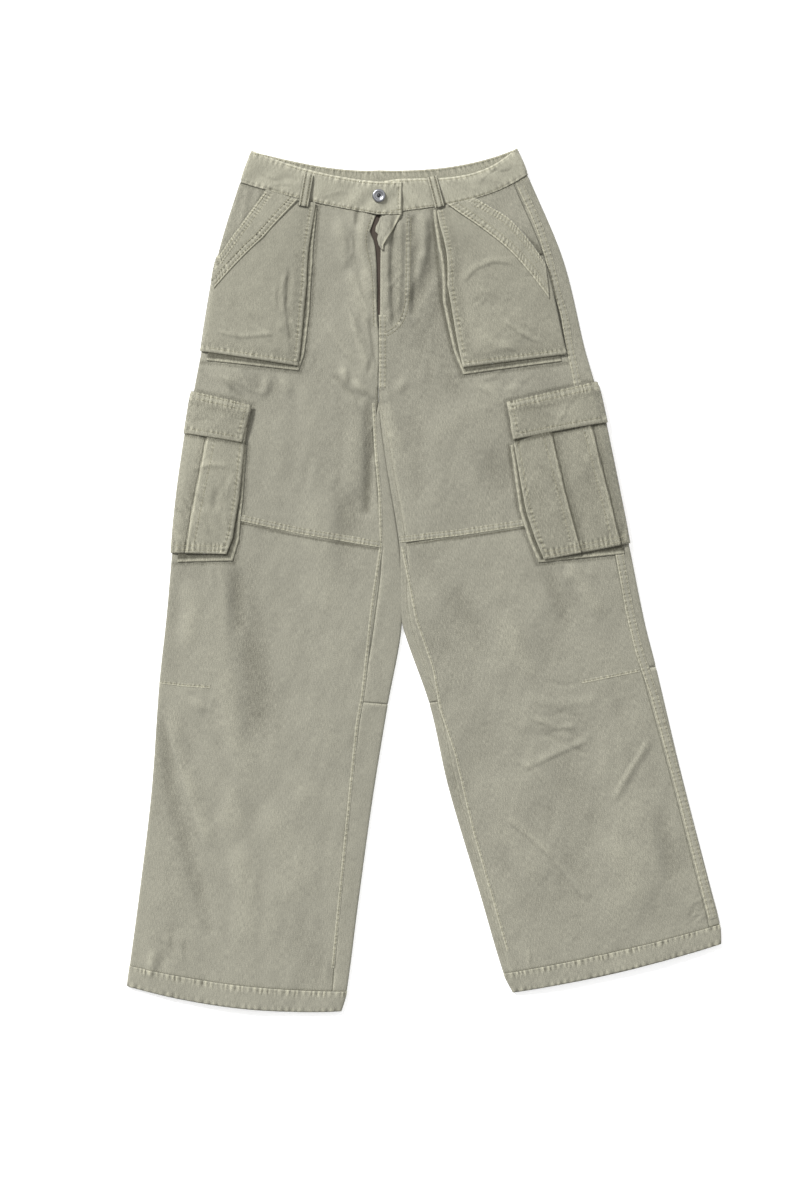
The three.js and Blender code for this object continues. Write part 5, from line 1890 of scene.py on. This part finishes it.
# Folds of the upper layer, each by its line seen from above: a height, how far to each side it dies out, and
# a soft or a tucked shape. Right and left are the wearer's.
CREASES = (
    # Front of the hip, wearer's right: folds fanning down from the fly, and pinches at the crotch.
    Crease(((-76, 471), (-79, 422), (-64, 356)), 2.2, 11),
    Crease(((-98, 400), (-82, 360), (-59, 318)), 1.8, 12),
    Crease(((-112, 466), (-104, 430), (-100, 392)), 1.3, 12),
    Crease(((-84, 476), (-84, 448)), -1.8, 6),
    Crease(((-104, 276), (-99, 246)), 1.9, 8),
    Crease(((-92, 256), (-70, 234)), 1.8, 8),
    Crease(((-72, 228), (-69, 154), (-74, 77)), -1.5, 11),
    Crease(((-90, 215), (-88, 150), (-96, 96)), 1.3, 18),
    # Front of the hip, wearer's left: the fly facing and the slack cloth beside it.
    Crease(((-37, 467), (-42, 400), (-38, 322)), -1.7, 6),
    Crease(((-30, 462), (-30, 400), (-33, 340)), 1.3, 6),
    Crease(((-15, 467), (-12, 400), (-14, 333)), -1.7, 7),
    Crease(((12, 468), (12, 430), (8, 395), (-18, 344)), -2.2, 14),
    Crease(((-2, 470), (2, 430), (-2, 400)), 1.7, 9),
    Crease(((-50, 452), (-46, 400), (-48, 345)), 1.0, 6),
    Crease(((-48, 230), (-40, 190), (-20, 160)), 1.2, 14),
    # Patch pocket, wearer's right.
    Crease(((-172, 400), (-176, 352), (-170, 300)), -1.2, 9, Form.TUCK),
    Crease(((-266, 316), (-232, 309), (-190, 313)), 0.8, 6, Form.TUCK),
    Crease(((-240, 352), (-214, 340), (-196, 344)), 0.5, 12),
    Crease(((-261, 262), (-242, 243)), 1.6, 8),
    Crease(((-197, 262), (-207, 230)), 1.6, 9),
    Crease(((-180, 265), (-172, 232)), 1.2, 10),
    # Patch pocket, wearer's left.
    Crease(((48, 376), (64, 396), (88, 406), (116, 402)), 0.9, 9, Form.TUCK),
    Crease(((97, 333), (123, 314), (150, 301)), 1.2, 8, Form.TUCK),
    Crease(((60, 360), (84, 352), (108, 356)), -0.8, 12),
    Crease(((66, 310), (92, 296), (120, 300)), 0.8, 10),
    # Cargo pocket, wearer's right.
    Crease(((-302, 138), (-272, 146), (-246, 143)), 0.9, 7, Form.TUCK),
    Crease(((-322, 62), (-300, 46)), 1.6, 7),
    Crease(((-262, 120), (-268, 84)), -1.1, 8),
    # Thighs.
    Crease(((104, 240), (60, 216), (20, 190), (14, 130), (20, 77)), 0.8, 26),
    Crease(((-20, 214), (-6, 160), (0, 96)), -0.7, 20),
    Crease(((-190, 210), (-184, 160), (-194, 110)), 0.9, 22),
    Crease(((-130, 190), (-118, 130), (-126, 84)), -0.8, 24),
    Crease(((-20, 260), (-36, 236)), 1.2, 9),
    # Below the cargo pockets.
    Crease(((180, 26), (206, -16), (232, -51)), 1.8, 15),
    Crease(((150, 20), (170, -20), (186, -70)), -1.1, 16),
    Crease(((97, -38), (120, -90), (148, -141)), 1.3, 20),
    Crease(((-238, 26), (-240, -24), (-236, -77)), -1.8, 16),
    Crease(((-300, 10), (-296, -40), (-306, -96)), 1.3, 20),
    Crease(((-180, -10), (-172, -90), (-180, -160)), 0.9, 30),
    # Knees.
    Crease(((128, -150), (160, -158), (200, -156), (226, -150)), 0.5, 9),
    Crease(((128, -242), (174, -220), (214, -203)), 0.9, 11, Form.TUCK),
    Crease(((110, -200), (150, -196), (186, -184)), -0.6, 12),
    Crease(((236, -150), (256, -176), (268, -210)), -0.8, 15),
    Crease(((-268, -188), (-240, -250), (-204, -326)), -1.1, 18),
    Crease(((-300, -150), (-276, -170)), 1.2, 10),
    # Lower legs.
    Crease(((-332, -160), (-312, -232), (-292, -292), (-272, -350)), 1.7, 22, Form.TUCK),
    Crease(((-341, -170), (-324, -262), (-292, -376), (-268, -468)), -1.2, 15),
    Crease(((-240, -330), (-226, -400), (-232, -480)), 1.2, 22),
    Crease(((-160, -240), (-150, -330), (-160, -430)), 0.9, 28),
    Crease(((-344, -470), (-352, -512)), 1.2, 8),
    Crease(((-330, -470), (-338, -508)), -0.9, 8),
    Crease(((104, -302), (160, -350), (212, -412)), 1.6, 10, Form.TUCK),
    Crease(((289, -200), (264, -240), (238, -284)), 1.3, 10, Form.TUCK),
    Crease(((90, -330), (120, -390), (150, -430)), -1.0, 20),
    Crease(((300, -280), (310, -340), (322, -400)), -1.2, 18),
    Crease(((230, -320), (262, -380), (290, -430)), 1.0, 24),
    # Broad slack folds of the legs.
    Crease(((-232, 20), (-226, -60), (-214, -140), (-218, -220)), -1.5, 30),
    Crease(((-262, -110), (-244, -190), (-232, -260), (-252, -340)), 1.1, 26),
    Crease(((-196, -270), (-176, -340), (-182, -430)), 1.3, 30),
    Crease(((-140, 120), (-128, 40), (-132, -60)), 1.0, 34),
    Crease(((-98, 170), (-96, 90), (-104, 0)), -1.2, 26),
    Crease(((84, 190), (96, 130), (84, 80)), -1.1, 34),
    Crease(((30, 10), (60, -60), (96, -120)), -0.9, 30),
    Crease(((200, -60), (236, -110), (262, -160)), 0.9, 30),
    # Sharper folds where the cloth is pulled.
    Crease(((-70, 340), (-66, 300), (-60, 268)), -1.3, 8, Form.TUCK),
    Crease(((-96, 350), (-84, 300), (-70, 262)), 1.4, 12, Form.TUCK),
    Crease(((-128, 330), (-108, 300), (-86, 272)), 0.9, 12, Form.TUCK),
    Crease(((-116, 262), (-96, 238), (-78, 222)), -1.4, 7, Form.TUCK),
    Crease(((-62, 236), (-63, 196), (-62, 150)), -2.2, 8),
    Crease(((-50, 232), (-46, 196), (-40, 168)), 1.4, 9, Form.TUCK),
    Crease(((-152, 250), (-146, 214), (-150, 176)), 0.8, 16),
    Crease(((-262, 258), (-240, 236), (-226, 226)), -1.5, 7, Form.TUCK),
    Crease(((200, 268), (214, 250), (228, 240)), 1.2, 7, Form.TUCK),
    Crease(((62, 250), (86, 238), (100, 218)), 1.1, 9, Form.TUCK),
    Crease(((150, -128), (176, -136), (204, -132)), -0.5, 7, Form.TUCK),
    Crease(((136, -176), (168, -190), (198, -186)), 0.7, 7, Form.TUCK),
    Crease(((150, -196), (186, -214), (214, -226)), -0.7, 8, Form.TUCK),
    Crease(((120, -230), (156, -258), (176, -282)), 0.9, 10, Form.TUCK),
    Crease(((-300, 96), (-284, 74), (-274, 56)), 1.2, 7, Form.TUCK),
    Crease(((-322, 118), (-306, 100), (-296, 82)), -1.1, 6, Form.TUCK),
    Crease(((140, 150), (166, 128), (180, 100)), -0.9, 8, Form.TUCK),
    Crease(((200, 160), (222, 130), (236, 96)), 1.2, 8, Form.TUCK),
)

# Patches of small folds: at the fly and waist, on and below the pockets, at the crotch and at the knees.
CRUMPLES = (
    Crumple((-6, 440), (14, 26), 92, 10),
    Crumple((-42, 400), (8, 50), 86, 8),
    Crumple((-96, 430), (18, 26), 98, 9),
    Crumple((-84, 340), (16, 40), 116, 9),
    Crumple((-66, 280), (10, 16), 96, 5),
    Crumple((-210, 330), (36, 36), 150, 10, 0.32),
    Crumple((-176, 352), (9, 50), 94, 8),
    Crumple((92, 372), (34, 30), 20, 9, 0.3),
    Crumple((118, 312), (30, 24), 148, 12, 0.36),
    Crumple((-226, 250), (34, 12), 160, 9),
    Crumple((110, 252), (40, 10), 12, 8),
    Crumple((-96, 236), (16, 20), 118, 8),
    Crumple((-58, 200), (12, 30), 92, 8, 0.5),
    Crumple((-270, 208), (26, 12), 8, 8, 0.36),
    Crumple((168, 214), (36, 12), 14, 8, 0.36),
    Crumple((-296, 100), (18, 34), 128, 14, 0.44),
    Crumple((-252, 96), (8, 40), 96, 8),
    Crumple((156, 120), (22, 34), 120, 9, 0.36),
    Crumple((232, 120), (18, 38), 112, 12, 0.4),
    Crumple((-246, 12), (26, 14), 118, 7),
    Crumple((178, 8), (34, 14), 130, 8),
    Crumple((172, -178), (38, 28), 168, 14, 0.4),
    Crumple((-262, -166), (26, 22), 128, 7, 0.3),
    Crumple((240, -160), (18, 30), 130, 7, 0.3),
    Crumple((-322, -470), (20, 18), 110, 8),
    Crumple((350, -430), (14, 20), 60, 7),
    Crumple((128, -486), (14, 12), 100, 6),
    Crumple((-120, -500), (10, 12), 92, 5, 0.3),
    Crumple((-190, 506), (24, 12), 150, 8, 0.4),
    Crumple((-104, 492), (26, 10), 172, 6, 0.3),
    Crumple((92, 522), (34, 10), 18, 8, 0.36),
    Crumple((-140, 300), (16, 40), 98, 6, 0.3),
    Crumple((10, 280), (18, 50), 86, 7, 0.3),
    Crumple((-160, 120), (60, 50), 96, 8, 0.26),
    Crumple((70, 130), (50, 50), 100, 8, 0.26),
    Crumple((-110, -40), (40, 60), 100, 7, 0.26),
    Crumple((60, -20), (50, 60), 96, 7, 0.2),
    Crumple((150, -360), (50, 50), 130, 9, 0.22),
    Crumple((-190, -380), (60, 70), 96, 9, 0.22),
)

# Where the panels are darker: beside the pockets' edges, under the thigh seams and between the legs.
SHADES = (
    Shade(((-134.5, 475), (-140, 404), (-144, 343), (-151, 287), (-158, 265), (-288, 278))),
    Shade(((10, 472), (16, 424), (22, 356), (36, 292), (48, 260), (183, 277))),
    Shade(((-224, 172), (-229, 102), (-234, 50), (-242, 22), (-320, 21))),
    Shade(((108, 172), (120, 88), (132, 50), (144, 20), (263, 32))),
    Shade(((-230, 174), (-217, 225), (-296, 243)), 0.4, 4.0),
    Shade(((112, 178), (103, 229), (218, 255)), 0.4, 4.0),
    Shade(((-236, 73), (-159, 56), (-57, 39)), 0.8, 3.0),
    Shade(((-31, 45), (46, 54), (134, 67)), 0.8, 3.0),
    Shade(((-59, 244), (-60, 190), (-56, 140)), 0.6, 5.0),
    Shade(((-72, 226), (-71, 154), (-74, 90)), 0.3, 8.0),
    Shade(((-92, 200), (-88, 110), (-96, 20)), 0.14, 42.0),
    Shade(((-228, 10), (-222, -80), (-214, -200)), 0.14, 40.0),
    Shade(((-330, -180), (-316, -330), (-320, -470)), 0.1, 40.0),
    Shade(((86, 196), (92, 140), (84, 84)), 0.1, 46.0),
    Shade(((40, 250), (34, 330), (30, 400)), 0.12, 22.0),
    Shade(((-34, 330), (-36, 400), (-34, 450)), 0.18, 14.0),
    Shade(((-300, 264), (-240, 252), (-190, 246)), 0.12, 20.0),
    Shade(((-20, 466), (-21, 410), (-22, 356), (-28, 332), (-38, 319), (-52, 313)), 0.4, 2.6),
)


def seam_ridges() -> list[SeamRidge]:
    """The seams that show on the front, each by its line seen from above.

    After the line come its width, rows of stitches, seed, height, pucker and contrast.
    """
    right, left = Side.RIGHT, Side.LEFT
    return [
        SeamRidge(
            "seam_thigh_right", right, ((-236, 75), (-159, 58), (-57, 41)),
            9.5, (2.4, 7.2), 101, 1.1, 0.4, 0.7,
        ),
        SeamRidge(
            "seam_thigh_left", left, ((-31, 47), (46, 56), (134, 69)),
            9.5, (2.4, 7.2), 102, 1.1, 0.4, 0.7,
        ),
        SeamRidge(
            "seam_inner_right", right,
            ((-67, 226), (-64, 164), (-59, 110), (-57, 47), (-68, -26), (-81, -145), (-88, -183), (-99, -292),
             (-109, -394), (-119, -495)),
            5.5, (2.8,), 103, 0.8, 0.25, 0.5,
        ),
        SeamRidge(
            "seam_inner_left", left,
            ((-30, 42), (-12, -51), (10, -113), (19, -166), (38, -222), (60, -317), (84, -401), (105, -475)),
            5.5, (2.8,), 104, 0.8, 0.25, 0.5,
        ),
        SeamRidge(
            "seam_side_left", left,
            ((118, 502), (133, 470), (143, 447), (155, 408), (165, 365), (174, 339), (180, 300), (188, 262),
             (193, 236)),
            11.0, (2.6, 8.4), 105, 1.0, 0.35, 0.5,
        ),
        SeamRidge(
            "seam_side_lower_left", left,
            ((243, 36), (257, -41), (270, -95), (289, -150), (327, -290), (363, -434)),
            12.0, (2.8, 9.2), 106, 1.0, 0.35, 0.5,
        ),
        SeamRidge(
            "seam_knee_right", right, ((-338, -133), (-305, -137), (-273, -139)),
            5.5, (2.8,), 107, 0.9, 0.3, 0.7,
        ),
        SeamRidge(
            "seam_knee_left", left, ((202, -133), (240, -125), (276, -118)),
            5.5, (2.8,), 108, 0.9, 0.3, 0.7,
        ),
        SeamRidge(
            "fly_edge_right", right,
            ((-60, 322), (-60.5, 345), (-61.4, 370), (-62.6, 391), (-64.8, 406), (-68, 418), (-71, 431),
             (-69.8, 443), (-65.5, 455), (-62.5, 464)),
            6.5, (4.2,), 111, 0.35, 0.35, 0.7,
        ),
        SeamRidge(
            "fly_stitching", left, ((-23, 465), (-24, 410), (-25, 356), (-30, 334), (-39, 322), (-52, 316)),
            8.0, (1.6, 6.2), 109, 0.45, 0.3, 0.55, 0.4,
        ),
        SeamRidge(
            "seam_centre_front", left, ((-58, 338), (-57.6, 290), (-58, 243)),
            10.0, (2.4, 8.0), 110, 0.7, 0.35, 0.8,
        ),
    ]


def patch_pockets(legs: dict[Side, LegSurface], finishes: Finishes, threads: Threads) -> list[PatchPocket]:
    """The two front patch pockets."""
    return [
        PatchPocket(
            legs[Side.RIGHT], finishes, threads, opening_top=(-201, 498), opening_foot=(-269, 383),
            inner=((-139.5, 478), (-150, 376), (-160.5, 273)), outer_foot=(-286, 292),
            base=((-136.5, 475), (-142, 404), (-146, 343), (-153, 287), (-160, 267)), base_foot=(-288, 280),
            band_lower=((-160.5, 485), (-205, 436), (-268, 372)),
            band_upper=((-201, 498), (-231, 456), (-268, 402)), seed=201,
        ),
        PatchPocket(
            legs[Side.LEFT], finishes, threads, opening_top=(56, 497), opening_foot=(158, 402),
            inner=((17, 474), (30, 376), (50, 271)), outer_foot=(182, 288),
            base=((12, 472), (18, 424), (24, 356), (38, 292), (50, 262)), base_foot=(183, 279),
            band_lower=((29, 480), (84, 440), (160, 358)), band_upper=((56, 492), (108, 462), (154, 404)),
            seed=301, tone=0.08,
        ),
    ]


def cargo_pockets(legs: dict[Side, LegSurface], finishes: Finishes, threads: Threads) -> list[CargoPocket]:
    """The two cargo pockets."""
    return [
        CargoPocket(
            legs[Side.RIGHT], finishes, threads, inner=((-228, 180), (-236, 102), (-244, 54), (-252, 33)),
            face_foot=((-252, 33), (-320, 34)), pleats=(((-277, 176), (-303, 48)),),
            base_inner=((-226, 172), (-231, 102), (-236, 50), (-244, 24)), base_foot_y=23.0,
            flap_top=((-219, 223), (-296, 241)), flap_foot=((-232, 175), (-305, 187)), seed=401,
            body_tone=0.02,
        ),
        CargoPocket(
            legs[Side.LEFT], finishes, threads, inner=((113, 182), (130, 88), (142, 52), (153, 26)),
            face_foot=((153, 26), (263, 47)), pleats=(((161, 188), (196, 54)), ((212, 197), (248, 56))),
            base_inner=((110, 172), (122, 88), (134, 50), (146, 22)), base_foot_y=34.0,
            flap_top=((105, 227), (218, 253)), flap_foot=((114, 179), (229, 201)), seed=501,
            body_tone=0.22, flap_tone=0.16,
        ),
    ]


BELT_LOOPS = (
    BeltLoop("belt_loop_front_right", Side.RIGHT, False, (-147, 518), (-154, 476), 6.8),
    BeltLoop("belt_loop_front_left", Side.LEFT, False, (10, 515), (20, 475), 6.8),
    BeltLoop("belt_loop_back_right", Side.RIGHT, True, (-150, 524), (-156, 486), 2.0),
    BeltLoop("belt_loop_back_centre", Side.RIGHT, True, (-66, 520), (-66, 482), 2.0),
    BeltLoop("belt_loop_back_left", Side.LEFT, True, (32, 522), (38, 484), 2.0),
)


# ---- Stage ----


@dataclass(frozen=True)
class Stage:
    """A white surface, soft light from above and a camera that looks straight down."""

    centre: tuple[float, float] = (-0.0307, -0.0256)
    camera_height: float = 3.2
    view_height: float = 1.536
    floor_size: float = 14.0
    floor_colour: str = "#f7f7f7"
    key_strength: float = 4.5
    fill_strength: float = 0.5
    sky: float = 0.43
    glow: float = 0.5

    def build(self) -> None:
        """Make the floor, lights and camera."""
        half = self.floor_size / 2.0
        mesh = bpy.data.meshes.new("floor")
        corners = [(-half, -half, 0), (half, -half, 0), (half, half, 0), (-half, half, 0)]
        mesh.from_pydata(corners, [], [(0, 1, 2, 3)])
        floor = bpy.data.objects.new("floor", mesh)
        floor.data.materials.append(self.light_table())
        bpy.context.scene.collection.objects.link(floor)
        self.light("key_light", (-1.3, 1.55, 1.45), 0.22, self.key_strength)
        self.light("fill_light", (0.8, 0.6, 2.6), 0.9, self.fill_strength)
        world = bpy.data.worlds.new("studio")
        world.use_nodes = True
        background = world.node_tree.nodes["Background"]
        background.inputs["Color"].default_value = (1.0, 1.0, 1.0, 1.0)
        background.inputs["Strength"].default_value = self.sky
        bpy.context.scene.world = world
        bpy.context.scene.view_settings.view_transform = "Standard"
        camera = bpy.data.cameras.new("camera")
        camera.sensor_fit = "VERTICAL"
        camera.sensor_height = 36.0
        camera.lens = 36.0 * self.camera_height / self.view_height
        camera.clip_end = 50.0
        holder = bpy.data.objects.new("camera", camera)
        holder.location = (*self.centre, self.camera_height)
        bpy.context.scene.collection.objects.link(holder)
        bpy.context.scene.camera = holder

    def light_table(self) -> Material:
        """A white surface lit a little from below, so that the garment's shadows on it are faint."""
        material, tree = new_material("white_light_table")
        shader = add_node(
            tree, "ShaderNodeBsdfPrincipled",
            {
                "Base Color": linear(self.floor_colour), "Roughness": 0.9,
                "Emission Color": linear(self.floor_colour), "Emission Strength": self.glow,
            },
        )
        add_node(tree, "ShaderNodeOutputMaterial", None, {"Surface": shader.outputs["BSDF"]})
        return material

    @staticmethod
    def light(name: str, towards: tuple[float, float, float], spread: float, strength: float) -> None:
        """Add one soft, even light.

        Args:
            name: The light's name.
            towards: Direction from the garment to the light.
            spread: Angle in radians that the light's source fills, which softens its shadows.
            strength: Light on a surface that faces it, in watts a square metre.
        """
        lamp = bpy.data.lights.new(name, "SUN")
        lamp.angle = spread
        lamp.energy = strength
        holder = bpy.data.objects.new(name, lamp)
        holder.location = towards
        holder.rotation_euler = Vector(towards).to_track_quat("Z", "Y").to_euler()
        bpy.context.scene.collection.objects.link(holder)


def main() -> None:
    """Build the whole garment on its stage."""
    logging.basicConfig(level=logging.INFO, format="%(name)s %(message)s", stream=sys.stdout)
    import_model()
    Stage().build()
    finishes = Finishes.make()
    threads = Threads(finishes.thread)
    small = [fold for number, patch in enumerate(CRUMPLES) for fold in patch.creases(900 + number)]
    relief = Relief([*CREASES, *small], SHADES, 7)
    legs = {
        Side.RIGHT: LegSurface(Side.RIGHT, RIGHT_SECTIONS, relief),
        Side.LEFT: LegSurface(Side.LEFT, LEFT_SECTIONS, relief),
    }
    Leg(legs[Side.RIGHT], finishes).build()
    Leg(legs[Side.LEFT], finishes, tone=0.1).build()
    for ridge in seam_ridges():
        ridge.build(legs, finishes, threads)
    for pocket in patch_pockets(legs, finishes, threads):
        pocket.build()
    for pocket in cargo_pockets(legs, finishes, threads):
        pocket.build()
    Waistband(legs, finishes, threads).build()
    for loop in BELT_LOOPS:
        loop.build(legs, finishes, threads)
    Fly(legs, finishes).build()
    Button(legs, finishes).build()
    threads.build()


if __name__ == "__main__":
    main()
